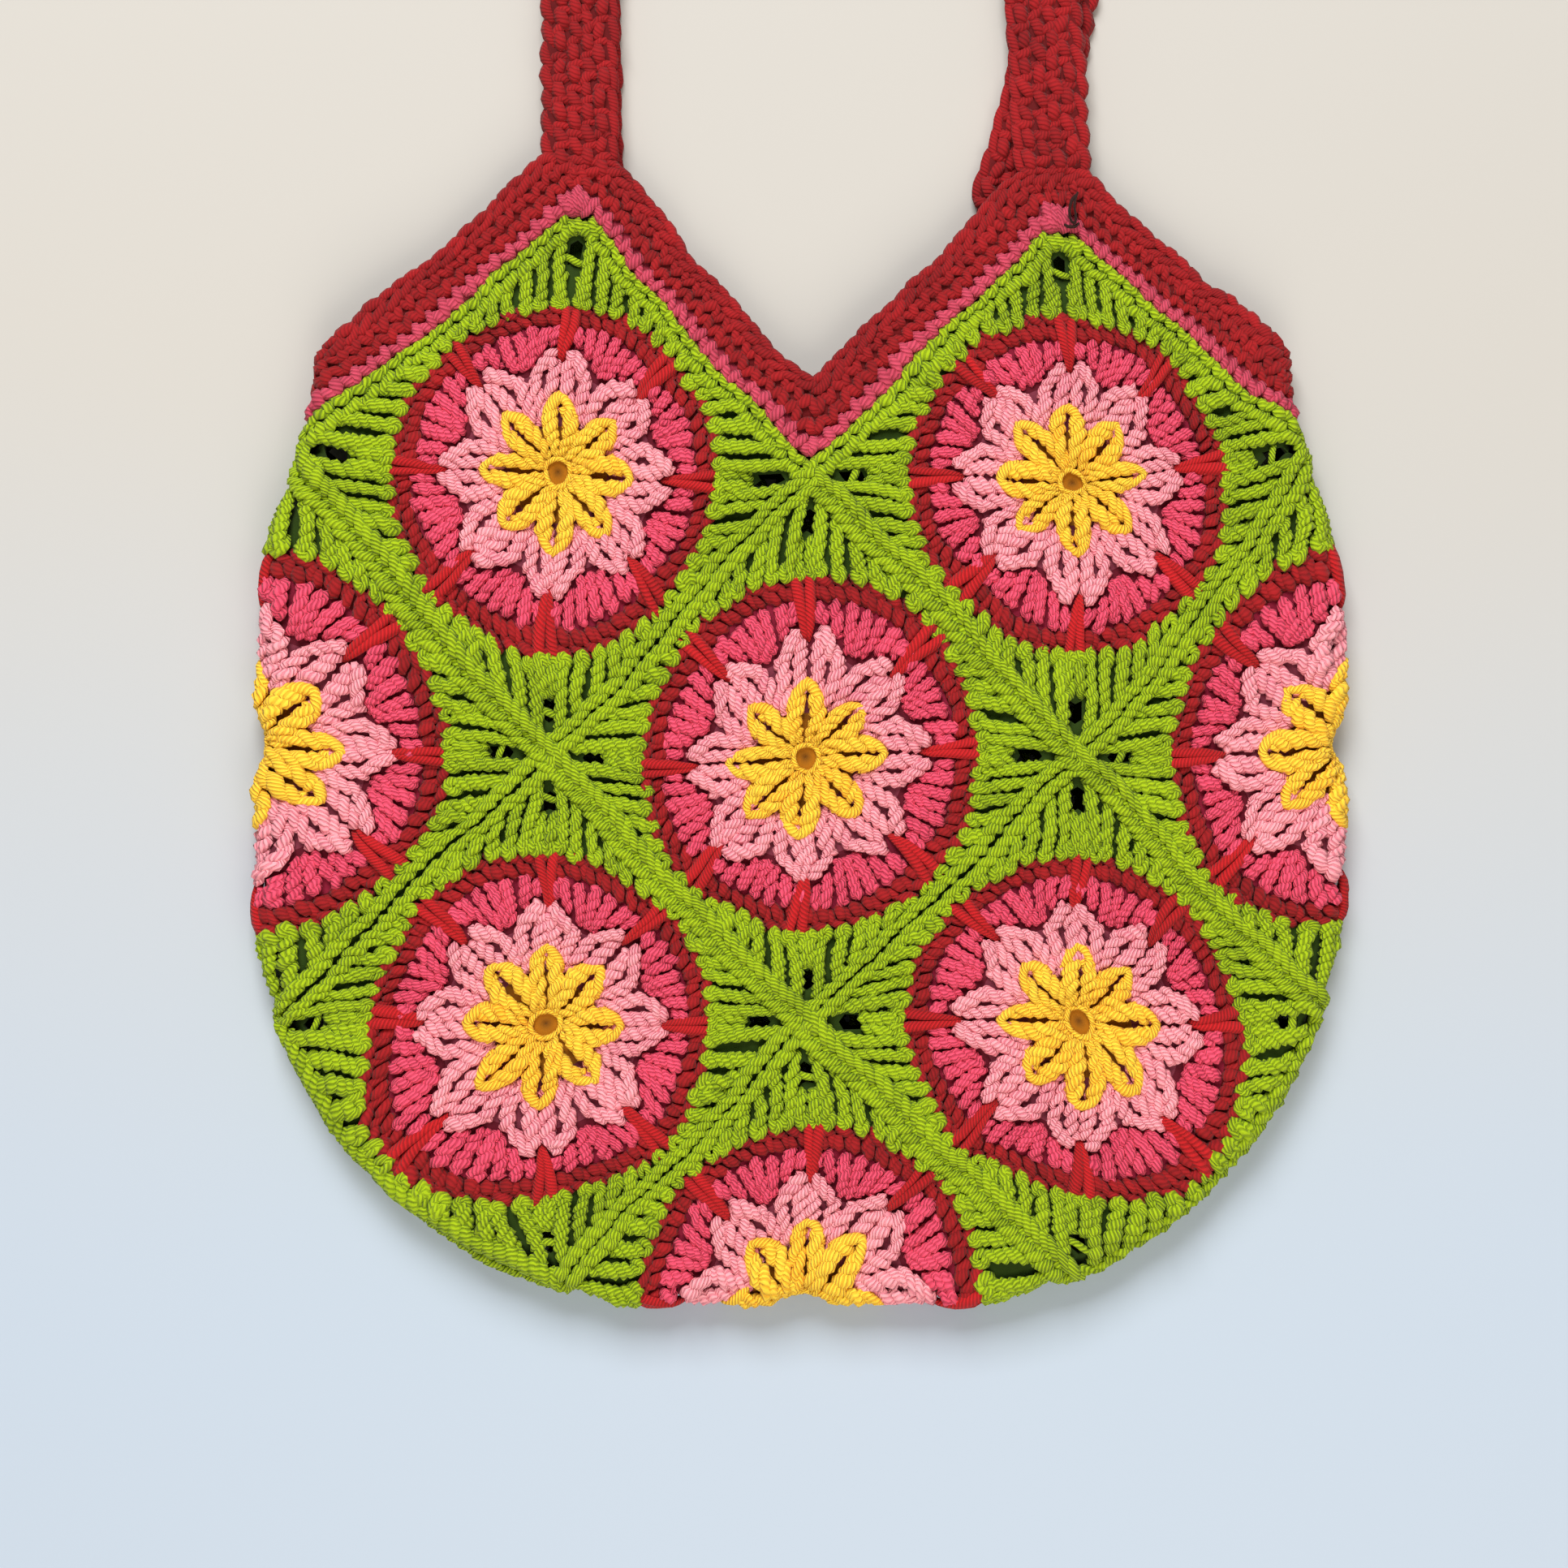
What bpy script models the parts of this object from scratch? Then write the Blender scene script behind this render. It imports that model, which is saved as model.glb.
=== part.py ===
"""Crocheted shoulder bag of thirteen flower squares, lying on its back.

The bag is drawn flat first: u runs to the right and v to the mouth, from the centre of the
middle square. The squares stand on their points, so their half diagonal is the step of the
pattern. lay_out then folds the flat pattern round the sides and the bottom of the bag.
Metres, +Z up, the back of the bag on the plane z = 0.
"""
import math

import bmesh
import bpy
from mathutils import Vector

# Crocheted cloth
SQUARE_SIDE = 0.125
WALL = 0.004
GAP = 0.0006
SEAT_GAP = 0.0008

# Flower rounds: distance from the centre at a spike, at a petal's middle, and height on the wall
HOLE_RADIUS = 0.0038
STAR_TIP = 0.0262
STAR_NOTCH = 0.0168
PETAL_FOOT = 0.0015
FAN_RADIUS = 0.047
FLOWER_RADIUS = 0.0579
STAR_RISE = 0.0012
FAN_RISE = 0.0014
ROUND_RISE = 0.0004

# Slots at the four corners of a square
SLOT_NEAR = 0.0670
SLOT_FAR = 0.0766
SLOT_WIDTH = 0.0036

# Outline of the body
FOLD_RADIUS = 0.0075
FOLD_REACH = 0.044
FOLD_STEPS = 3
FOLD_SHARE = 1.1
LEFT_SWELL = 0.0070
RIGHT_SWELL = 0.0005
BOTTOM_SWELL = 0.0045
LOW_CORNER_RADIUS = 0.140
SHOULDER_TAPER = 0.014
BODY_PUFF = 0.004
PUFF_REACH = 0.090

# Mouth: how the upper squares are drawn up and in
ROW_LIFT = 0.0066
FOLD_LIFT = 0.0110
PINCH = 0.018
BACK_PINCH = 0.018
LEAN = 0.0012
BACK_LEAN = 0.0014
FLAP_DROOP = 0.0075

# Edging, measured across the rounds
FREE_EDGE = 0.0041
PINK_WIDTH = 0.0054
RED_WIDTH = 0.0125
PEAK_WIDENING = 0.0026
SEAT_HEIGHT = 0.0125

# Handles
HANDLE_WIDTH = 0.0264
HANDLE_THICKNESS = 0.005
HANDLE_BEVEL = 0.0014
HANDLE_LEG = 0.150
FRONT_LEG_LEAN = 0.0087
BACK_SPRING_SHIFT = 0.017
BACK_LEG_EASE = 2.5
LEG_STEPS = 6
ARCH_STEPS = 16

# Mesh
SPOKES = 16
HALF_DIAGONAL = SQUARE_SIDE / math.sqrt(2)
SIDE_FOLD = 2 * HALF_DIAGONAL
BOTTOM_FOLD = -2 * HALF_DIAGONAL
LOW_SEAM = 3 * HALF_DIAGONAL
BACK_MIDDLE = WALL / 2
SIDE_EASE = (math.pi / 2 - 1) * FOLD_RADIUS

COTTON = {
    "yellow": ("#F5C02F", 0.85),
    "light_pink": ("#F092AE", 0.85),
    "deep_pink": ("#D9477C", 0.85),
    "red": ("#B5182C", 0.85),
    "green": ("#8DBE1E", 0.85),
}

# Squares: name, centre in half diagonals to the right and up, under sheet, edges at the mouth
SQUARES = [
    ("square_front_top_left", -1, 1, False, True),
    ("square_front_top_right", 1, 1, False, True),
    ("square_front_middle", 0, 0, False, False),
    ("square_front_bottom_left", -1, -1, False, False),
    ("square_front_bottom_right", 1, -1, False, False),
    ("square_back_top_left", -1, 1, True, True),
    ("square_back_top_right", 1, 1, True, True),
    ("square_back_middle", 0, 0, True, False),
    ("square_back_bottom_left", -1, -1, True, False),
    ("square_back_bottom_right", 1, -1, True, False),
    ("square_side_left", -2, 0, False, False),
    ("square_side_right", 2, 0, False, False),
    ("square_bottom", 0, -2, False, False),
]


def ease(share):
    """Smooth step from 0 to 1."""
    share = min(max(share, 0.0), 1.0)
    return share * share * (3 - 2 * share)


def half_width(v, sign):
    """Half width of the body, left or right, at height v of the pattern."""
    swell = LEFT_SWELL if sign < 0 else RIGHT_SWELL
    shoulder = ease((v / HALF_DIAGONAL - 0.4) / 0.9)
    return SIDE_FOLD + swell - SHOULDER_TAPER * shoulder


def outline_reach(across, down, wide):
    """Distance from the middle to the rounded outline along a direction."""
    below = -BOTTOM_FOLD + BOTTOM_SWELL
    core_x = wide - LOW_CORNER_RADIUS
    core_y = below - LOW_CORNER_RADIUS
    if across > 0 and down * wide / across <= core_y:
        return wide / across
    if down > 0 and across * below / down <= core_x:
        return below / down
    along = across * core_x + down * core_y
    return along + math.sqrt(along ** 2 - core_x ** 2 - core_y ** 2 + LOW_CORNER_RADIUS ** 2)


def upper_plan(u, v, sign, wide):
    """Plan of a point above the middle: position, depth inside the outline, way out."""
    share = abs(u) / SIDE_FOLD
    x = u * (1 + (wide / SIDE_FOLD - 1) * share ** 3)
    return x, v, wide - abs(x), sign, 0.0


def lower_plan(u, v, sign, wide):
    """Plan of a point below the middle, where the outline is rounded."""
    run = math.hypot(u, v)
    across, down = abs(u) / run, abs(v) / run
    flat = LOW_SEAM / (across + down)
    if across > 0:
        flat = min(flat, SIDE_FOLD / across)
    flat = min(flat, -BOTTOM_FOLD / down)
    full = outline_reach(across, down, wide)
    stretch = 1 + (full / flat - 1) * (run / flat) ** 3
    x, y = u * stretch, v * stretch
    past_x = abs(x) - (wide - LOW_CORNER_RADIUS)
    past_y = -y - (-BOTTOM_FOLD + BOTTOM_SWELL - LOW_CORNER_RADIUS)
    if past_x > 0 and past_y > 0:
        away = math.hypot(past_x, past_y)
        return x, y, LOW_CORNER_RADIUS - away, sign * past_x / away, -past_y / away
    if past_x > past_y:
        return x, y, LOW_CORNER_RADIUS - past_x, sign, 0.0
    return x, y, LOW_CORNER_RADIUS - past_y, 0.0, -1.0


def lay_out(u, v, back):
    """Point in the middle of the wall for pattern point u, v, and the way out of the bag there."""
    if abs(u) > SIDE_FOLD:
        u = math.copysign(2 * SIDE_FOLD, u) - u
        back = not back
    if v < BOTTOM_FOLD:
        v = 2 * BOTTOM_FOLD - v
        back = not back
    sign = -1.0 if u < 0 else 1.0
    wide = half_width(v, sign)
    plan = upper_plan if v >= 0 else lower_plan
    x, y, depth, out_x, out_y = plan(u, v, sign, wide)

    along = depth + SIDE_EASE
    if depth < FOLD_REACH:
        along = depth + SIDE_EASE * (1 - (1 - depth / FOLD_REACH) ** 2)
    turn = min(along / FOLD_RADIUS, math.pi / 2)
    inset = along - SIDE_EASE
    if turn < math.pi / 2:
        inset = FOLD_RADIUS * (1 - math.cos(turn))
    x += out_x * (depth - inset)
    y += out_y * (depth - inset)
    rise = math.sin(turn)

    z = BACK_MIDDLE + FOLD_RADIUS * (1 - rise if back else 1 + rise)
    if not back:
        body = ease(depth / PUFF_REACH) * (1 - ease((v / HALF_DIAGONAL - 0.2) / 1.2))
        flap = ease((v - HALF_DIAGONAL) / HALF_DIAGONAL)
        z += rise * (BODY_PUFF * body - FLAP_DROOP * flap)

    above = max(v, 0.0) / HALF_DIAGONAL
    inner = 1 - (u / SIDE_FOLD) ** 2
    pinch = PINCH + (BACK_PINCH * inner if back else 0.0)
    lean = LEAN - (BACK_LEAN * inner if back else 0.0)
    x = x * (1 - pinch * above ** 2) + lean * above
    fold_lift = FOLD_LIFT * (abs(u) / SIDE_FOLD) ** 4 * ease(v / SIDE_FOLD + 0.5)
    y += ROW_LIFT * ease(above) + fold_lift
    lean_out = math.cos(turn)
    return Vector((x, y, z)), Vector((out_x * lean_out, out_y * lean_out, -rise if back else rise))


def on_cloth(u, v, height, back):
    """Point at a height over the middle of the wall."""
    point, outward = lay_out(u, v, back)
    return point + outward * height


def hex_colour(text):
    """Linear colour from an sRGB hex value."""
    values = [int(text[i:i + 2], 16) / 255 for i in (1, 3, 5)]
    return [c / 12.92 if c <= 0.04045 else ((c + 0.055) / 1.055) ** 2.4 for c in values] + [1.0]


def cotton(name):
    """Principled material of a cotton yarn, made once."""
    if name in bpy.data.materials:
        return bpy.data.materials[name]
    colour, roughness = COTTON[name]
    material = bpy.data.materials.new(name)
    material.use_nodes = True
    shader = material.node_tree.nodes["Principled BSDF"]
    shader.inputs["Base Color"].default_value = hex_colour(colour)
    shader.inputs["Roughness"].default_value = roughness
    material.diffuse_color = hex_colour(colour)
    return material


def flower_rounds(lying):
    """Rounds of a square: distance at a spike, between spikes, height, yarn outside the round."""
    lift = 0.0 if lying else 1.0
    return [
        (HOLE_RADIUS, HOLE_RADIUS, 0.0, "yellow"),
        (STAR_TIP, STAR_NOTCH, STAR_RISE * lift, "light_pink"),
        (STAR_TIP + PETAL_FOOT, STAR_NOTCH + PETAL_FOOT, ROUND_RISE * lift, "deep_pink"),
        (FAN_RADIUS, FAN_RADIUS, FAN_RISE * lift, "red"),
        (FLOWER_RADIUS, FLOWER_RADIUS, ROUND_RISE * lift, "green"),
    ]


def edge_points(at_mouth):
    """Outer points of a square, one for each spoke, from the right corner round to the left."""
    seam = SQUARE_SIDE / 2 - GAP / 2
    free = SQUARE_SIDE / 2 + FREE_EDGE if at_mouth else seam
    points = []
    for spoke in range(SPOKES):
        angle = 2 * math.pi * spoke / SPOKES
        across, up = math.cos(angle), math.sin(angle)
        reach = free if up > 0 else seam
        run = reach * math.sqrt(2) / (abs(across) + abs(up))
        points.append([across * run, up * run])
    if at_mouth:
        corner = HALF_DIAGONAL - GAP / 2
        blunt = free * math.sqrt(2) - corner
        points[0], points[SPOKES // 2] = [corner, 0.0], [-corner, 0.0]
        points[1], points[SPOKES // 2 - 1] = [corner, blunt], [-corner, blunt]
    return points


def slot_points(angle):
    """Six points round a corner slot: near end, left side, far end, right side."""
    middle = (SLOT_NEAR + SLOT_FAR) / 2
    quarter = (SLOT_FAR - SLOT_NEAR) / 6
    half = SLOT_WIDTH / 2
    shape = [(SLOT_NEAR, 0), (middle - quarter, half), (middle + quarter, half),
             (SLOT_FAR, 0), (middle + quarter, -half), (middle - quarter, -half)]
    across, up = math.cos(angle), math.sin(angle)
    return [(r * across - s * up, r * up + s * across) for r, s in shape]


def sheet_side(mesh, centre, height, rounds, at_mouth):
    """One face of a square in the flat pattern: its rings, slots and the faces between them."""
    def ring(points, lift):
        return [mesh.verts.new((centre[0] + x, centre[1] + y, height + lift)) for x, y in points]

    rings = []
    for tip, notch, lift, _ in rounds:
        points = []
        for spoke in range(SPOKES):
            angle = 2 * math.pi * spoke / SPOKES
            run = notch + (tip - notch) * (0.5 + 0.5 * math.cos(8 * angle))
            points.append((run * math.cos(angle), run * math.sin(angle)))
        rings.append(ring(points, lift))
    rings.append(ring(edge_points(at_mouth), 0.0))
    slots = [ring(slot_points(math.pi / 2 * corner), 0.0) for corner in range(4)]

    faces = []
    for index in range(len(rings) - 2):
        for spoke in range(SPOKES):
            after = (spoke + 1) % SPOKES
            loop = [rings[index][spoke], rings[index + 1][spoke],
                    rings[index + 1][after], rings[index][after]]
            faces.append((loop, index))
    near, far = rings[-2], rings[-1]
    for spoke in range(SPOKES):
        after = (spoke + 1) % SPOKES
        loop = [near[spoke], far[spoke], far[after], near[after]]
        if spoke % (SPOKES // 4) == 0:
            slot = slots[spoke * 4 // SPOKES]
            loop = [near[spoke], slot[0], slot[1], slot[2], slot[3],
                    far[spoke], far[after], near[after]]
        if after % (SPOKES // 4) == 0:
            slot = slots[(after * 4 // SPOKES) % 4]
            loop = [near[spoke], far[spoke], far[after],
                    slot[3], slot[4], slot[5], slot[0], near[after]]
        faces.append((loop, len(rings) - 2))
    return rings, slots, faces


def wall_between(mesh, upper, lower, material_index):
    """Strip of faces that closes the wall between two matching loops."""
    count = len(upper)
    for index in range(count):
        after = (index + 1) % count
        loop = [upper[index], lower[index], lower[after], upper[after]]
        mesh.faces.new(loop).material_index = material_index


def flat_square(centre, at_mouth, lying):
    """Closed flat square with its hole, slots and relief, in pattern coordinates."""
    mesh = bmesh.new()
    outer_rounds = flower_rounds(lying)
    inner_rounds = [(tip, notch, 0.0, yarn) for tip, notch, _, yarn in outer_rounds]
    inner_rounds = [inner_rounds[0], inner_rounds[-1]]
    outer = sheet_side(mesh, centre, WALL / 2, outer_rounds, at_mouth)
    inner = sheet_side(mesh, centre, -WALL / 2, inner_rounds, at_mouth)
    for loop, yarn in outer[2]:
        mesh.faces.new(loop).material_index = yarn
    for loop, yarn in inner[2]:
        mesh.faces.new(loop[::-1]).material_index = 3 * yarn + 1
    last = len(outer_rounds) - 1
    wall_between(mesh, outer[0][-1][::-1], inner[0][-1][::-1], last)
    wall_between(mesh, outer[0][0], inner[0][0], 0)
    for upper, lower in zip(outer[1], inner[1]):
        wall_between(mesh, upper, lower, last)
    bmesh.ops.recalc_face_normals(mesh, faces=mesh.faces[:])
    bmesh.ops.triangulate(mesh, faces=mesh.faces[:])
    return mesh


def cut_rows(mesh, point, normal, keep_side=None):
    """New edges along a line of the pattern, on all faces or on one side of a fold."""
    faces = mesh.faces[:]
    if keep_side is not None:
        origin, way = Vector(keep_side[0]), Vector(keep_side[1])
        faces = [f for f in faces if (f.calc_center_median() - origin).dot(way) > 0]
    edges = {edge for face in faces for edge in face.edges}
    verts = {vert for face in faces for vert in face.verts}
    bmesh.ops.bisect_plane(mesh, geom=faces + list(edges) + list(verts), dist=1e-7,
                           plane_co=point, plane_no=normal)


def cut_folds(mesh, centre):
    """Edges where the wall turns: at the folds, the side seams and the rounded low corners."""
    on_side = abs(centre[0]) > HALF_DIAGONAL / 2
    sign = math.copysign(1, centre[0])
    folded_side = abs(centre[0]) > 1.5 * HALF_DIAGONAL
    folded_low = centre[1] < -1.5 * HALF_DIAGONAL
    if folded_side:
        cut_rows(mesh, (sign * SIDE_FOLD, 0, 0), (1, 0, 0))
    if folded_low:
        cut_rows(mesh, (0, BOTTOM_FOLD, 0), (0, 1, 0))
    for depth in fold_depths():
        if on_side:
            cut_rows(mesh, (sign * (SIDE_FOLD - depth), 0, 0), (1, 0, 0))
        if folded_side:
            cut_rows(mesh, (sign * (SIDE_FOLD + depth), 0, 0), (1, 0, 0))
        if centre[1] < -HALF_DIAGONAL / 2:
            cut_rows(mesh, (0, BOTTOM_FOLD + depth, 0), (0, 1, 0))
        if folded_low:
            cut_rows(mesh, (0, BOTTOM_FOLD - depth, 0), (0, 1, 0))
        if centre[1] < HALF_DIAGONAL / 2 and abs(centre[0]) + abs(centre[1]) > HALF_DIAGONAL:
            cut_low_seam(mesh, depth, folded_side, folded_low)


def cut_low_seam(mesh, depth, folded_side, folded_low):
    """Edges along the low side seams, on the front half and the back half of a folded square."""
    line = LOW_SEAM - depth * math.sqrt(2)
    for side in (-1, 1):
        if folded_side:
            fold = (side * SIDE_FOLD, 0, 0)
            cut_rows(mesh, (side * line, 0, 0), (side, -1, 0), (fold, (-side, 0, 0)))
            mirror = side * (2 * SIDE_FOLD - line)
            cut_rows(mesh, (mirror, 0, 0), (side, 1, 0), (fold, (side, 0, 0)))
        elif folded_low:
            fold = (0, BOTTOM_FOLD, 0)
            cut_rows(mesh, (side * line, 0, 0), (side, -1, 0), (fold, (0, 1, 0)))
            mirror = 2 * BOTTOM_FOLD + line
            cut_rows(mesh, (0, mirror, 0), (side, 1, 0), (fold, (0, -1, 0)))
        else:
            cut_rows(mesh, (side * line, 0, 0), (side, -1, 0))


def link(name, mesh, yarns):
    """Object from a finished mesh, with its yarns as material slots."""
    bmesh.ops.triangulate(mesh, faces=mesh.faces[:])
    data = bpy.data.meshes.new(name)
    mesh.to_mesh(data)
    mesh.free()
    for yarn in yarns:
        data.materials.append(cotton(yarn))
    part = bpy.data.objects.new(name, data)
    bpy.context.scene.collection.objects.link(part)
    return part


def make_square(name, right, up, back, at_mouth):
    """One flower square, laid on the bag."""
    centre = (right * HALF_DIAGONAL, up * HALF_DIAGONAL)
    mesh = flat_square(centre, at_mouth, lying=back)
    cut_folds(mesh, centre)
    for vert in mesh.verts:
        u, v, height = vert.co
        if abs(u) > SIDE_FOLD or v < BOTTOM_FOLD:
            height = min(height, WALL / 2)
        vert.co = on_cloth(u, v, height, back)
    if back:
        bmesh.ops.reverse_faces(mesh, faces=mesh.faces[:])
    return link(name, mesh, ["yellow", "light_pink", "deep_pink", "red", "green"])


def mouth_line(u):
    """Height of the zigzag of the mouth over its valleys."""
    return HALF_DIAGONAL - abs(abs(u) - HALF_DIAGONAL)


def edging_reach(u, width):
    """Height v of the line that lies a width outside the free edges of the squares."""
    free = math.sqrt(2) * (SQUARE_SIDE / 2 + FREE_EDGE + width)
    rise = mouth_line(u) / HALF_DIAGONAL
    widening = math.sqrt(2) * PEAK_WIDENING * rise * width / (PINK_WIDTH + RED_WIDTH)
    line = free + widening + mouth_line(u)
    peak = HALF_DIAGONAL + math.sqrt(2) * (SQUARE_SIDE / 2 + FREE_EDGE)
    share = width / (PINK_WIDTH + RED_WIDTH)
    return min(line, peak + SEAT_HEIGHT * share)


def fold_depths():
    """Depths inside the outline at which the wall is cut, so that it can turn."""
    turn = FOLD_RADIUS * math.pi / 2 * FOLD_SHARE
    return [turn * step / FOLD_STEPS for step in range(1, FOLD_STEPS + 1)]


def mouth_stations():
    """Places along the mouth, once round: front from left to right, back from right to left."""
    spokes = [HALF_DIAGONAL + x for x, _ in edge_points(True)[1:SPOKES // 2 - 1]]
    rise = PINK_WIDTH + RED_WIDTH + PEAK_WIDENING
    shoulder = math.sqrt(2) * rise - SEAT_HEIGHT
    shoulder /= 1 + math.sqrt(2) * PEAK_WIDENING / HALF_DIAGONAL
    places = {SIDE_FOLD, HALF_DIAGONAL - shoulder, HALF_DIAGONAL + shoulder}
    places.update(SIDE_FOLD - depth for depth in fold_depths())
    places.update(spokes[1:])
    half = sorted(places, reverse=True)
    front = [-u for u in half] + [0.0] + half[::-1]
    back = front[::-1][1:-1]
    return [(u, False) for u in front] + [(u, True) for u in back]


def make_edging(name, inner_width, outer_width, yarn):
    """Closed zigzag band round the mouth between two widths outside the squares."""
    mesh = bmesh.new()
    rings = []
    for u, back in mouth_stations():
        low = edging_reach(u, inner_width)
        high = edging_reach(u, outer_width)
        corners = [(low, WALL / 2), (high, WALL / 2), (high, -WALL / 2), (low, -WALL / 2)]
        rings.append([mesh.verts.new(on_cloth(u, v, h, back)) for v, h in corners])
    for index, ring in enumerate(rings):
        after = rings[(index + 1) % len(rings)]
        for side in range(4):
            beside = (side + 1) % 4
            mesh.faces.new([ring[side], after[side], after[beside], ring[beside]])
    bmesh.ops.recalc_face_normals(mesh, faces=mesh.faces[:])
    return link(name, mesh, [yarn])


def handle_route(back):
    """Middle line of a handle: up from the left peak, over the arch and down to the right."""
    seat_v = edging_reach(HALF_DIAGONAL, PINK_WIDTH + RED_WIDTH) + SEAT_GAP
    left = on_cloth(-HALF_DIAGONAL, seat_v, 0.0, back)
    right = on_cloth(HALF_DIAGONAL, seat_v, 0.0, back)
    front_left = on_cloth(-HALF_DIAGONAL, seat_v, 0.0, False)
    front_right = on_cloth(HALF_DIAGONAL, seat_v, 0.0, False)
    spring_left = front_left.x
    spring_right = front_right.x - FRONT_LEG_LEAN + (BACK_SPRING_SHIFT if back else 0.0)
    lying = HANDLE_THICKNESS / 2 if back else 1.5 * HANDLE_THICKNESS + GAP
    power = BACK_LEG_EASE if back else 1.0
    top = max(left.y, right.y) + HANDLE_LEG

    def leg(seat, spring):
        points = []
        start = max(seat.z, HANDLE_THICKNESS / 2)
        for step in range(LEG_STEPS + 1):
            share = step / LEG_STEPS
            x = seat.x + (spring - seat.x) * (1 - (1 - share) ** power)
            y = seat.y + (top - seat.y) * share
            z = start + (lying - start) * ease(share * 3)
            points.append(Vector((x, y, z)))
        return points

    middle = (spring_left + spring_right) / 2
    radius = (spring_right - spring_left) / 2
    arch = []
    for step in range(1, ARCH_STEPS):
        angle = math.pi * (1 - step / ARCH_STEPS)
        arch.append(Vector((middle + radius * math.cos(angle), top + radius * math.sin(angle), lying)))
    return leg(left, spring_left) + arch + leg(right, spring_right)[::-1]


def make_handle(name, back):
    """Flat crocheted band along its route, with rounded long edges."""
    half, thin, bevel = HANDLE_WIDTH / 2, HANDLE_THICKNESS / 2, HANDLE_BEVEL
    profile = [(-half, 0), (bevel - half, thin), (half - bevel, thin),
               (half, 0), (half - bevel, -thin), (bevel - half, -thin)]
    route = handle_route(back)
    mesh = bmesh.new()
    rings = []
    for index, point in enumerate(route):
        before = route[max(index - 1, 0)]
        after = route[min(index + 1, len(route) - 1)]
        way = after - before
        if index in (0, len(route) - 1):
            way = Vector((0, way.y, 0))
        side = Vector((way.y, -way.x, 0)).normalized()
        rings.append([mesh.verts.new(point + side * s + Vector((0, 0, h))) for s, h in profile])
    for ring, after in zip(rings, rings[1:]):
        for side in range(len(profile)):
            beside = (side + 1) % len(profile)
            mesh.faces.new([ring[side], after[side], after[beside], ring[beside]])
    mesh.faces.new(rings[0])
    mesh.faces.new(rings[-1][::-1])
    bmesh.ops.recalc_face_normals(mesh, faces=mesh.faces[:])
    return link(name, mesh, ["red"])


def stand_on_origin(parts):
    """Move every part so that the middle of the underside of the whole is the origin."""
    corners = [vert.co for part in parts for vert in part.data.vertices]
    low = [min(co[axis] for co in corners) for axis in range(3)]
    high = [max(co[axis] for co in corners) for axis in range(3)]
    shift = Vector((-(low[0] + high[0]) / 2, -(low[1] + high[1]) / 2, 0.0))
    for part in parts:
        for vert in part.data.vertices:
            vert.co += shift


def main():
    for old in list(bpy.data.objects):
        bpy.data.objects.remove(old, do_unlink=True)
    parts = [make_square(*row) for row in SQUARES]
    parts.append(make_edging("edging_pink", GAP, PINK_WIDTH, "deep_pink"))
    parts.append(make_edging("edging_red", PINK_WIDTH + GAP, PINK_WIDTH + RED_WIDTH, "red"))
    parts.append(make_handle("handle_front", False))
    parts.append(make_handle("handle_back", True))
    stand_on_origin(parts)


main()
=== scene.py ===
"""Crocheted shoulder bag of flower squares, lying flat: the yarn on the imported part.

The stitches are laid in the flat pattern first, in millimetres: x to the right, y to the mouth and
h out of the cloth, from the centre of the middle square. A strand of yarn is rows of x, y, h and
radius. sweep makes tubes of the strands, and lay_out folds them round the bag, the same way as the
part's source does.
"""
import math

import bpy
import numpy as np
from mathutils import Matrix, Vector


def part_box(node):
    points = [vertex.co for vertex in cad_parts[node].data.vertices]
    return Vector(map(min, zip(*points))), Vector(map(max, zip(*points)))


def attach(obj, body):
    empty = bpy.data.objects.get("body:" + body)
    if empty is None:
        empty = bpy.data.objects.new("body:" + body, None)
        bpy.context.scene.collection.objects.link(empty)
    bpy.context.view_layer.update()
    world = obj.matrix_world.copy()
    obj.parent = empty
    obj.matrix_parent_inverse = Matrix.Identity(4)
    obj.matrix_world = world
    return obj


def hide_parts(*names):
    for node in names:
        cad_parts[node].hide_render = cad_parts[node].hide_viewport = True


# Cloth, in metres, the same values as in the part's source
SQUARE_SIDE = 0.125
WALL = 0.004
FOLD_RADIUS = 0.0075
FOLD_REACH = 0.044
LEFT_SWELL = 0.0070
RIGHT_SWELL = 0.0005
BOTTOM_SWELL = 0.0045
LOW_CORNER_RADIUS = 0.140
SHOULDER_TAPER = 0.014
BODY_PUFF = 0.004
PUFF_REACH = 0.090
ROW_LIFT = 0.0066
FOLD_LIFT = 0.0110
PINCH = 0.018
BACK_PINCH = 0.018
LEAN = 0.0012
BACK_LEAN = 0.0014
BACK_SINK = 0.006
FLAP_DROOP = 0.0075
FREE_EDGE = 0.0041
PINK_WIDTH = 0.0054
RED_WIDTH = 0.0125
PEAK_WIDENING = 0.0026
SEAT_HEIGHT = 0.0125
SEAT_GAP = 0.0008
GAP = 0.0006
HANDLE_THICKNESS = 0.005
HANDLE_LEG = 0.150
FRONT_LEG_LEAN = 0.0087
BACK_SPRING_SHIFT = 0.017
BACK_LEG_EASE = 2.5
BACK_STRAP_TUCK = 0.0022
LEG_STEPS = 24
ARCH_STEPS = 48

HALF_DIAGONAL = SQUARE_SIDE / math.sqrt(2)
SIDE_FOLD = 2 * HALF_DIAGONAL
BOTTOM_FOLD = -2 * HALF_DIAGONAL
LOW_SEAM = 3 * HALF_DIAGONAL
PEAK = HALF_DIAGONAL + math.sqrt(2) * (SQUARE_SIDE / 2 + FREE_EDGE)
BACK_MIDDLE = WALL / 2
SIDE_EASE = (math.pi / 2 - 1) * FOLD_RADIUS

# Where the shoulders taper in and the body's puff ends, in half diagonals above the middle
TAPER_START = 0.4
TAPER_SPAN = 0.9
PUFF_END = 0.2
PUFF_SPAN = 1.2

# The yarn pressed flat where the bag lies on it
LYING_SQUASH = 0.41
LYING_CLEARANCE = 0.0001

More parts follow.
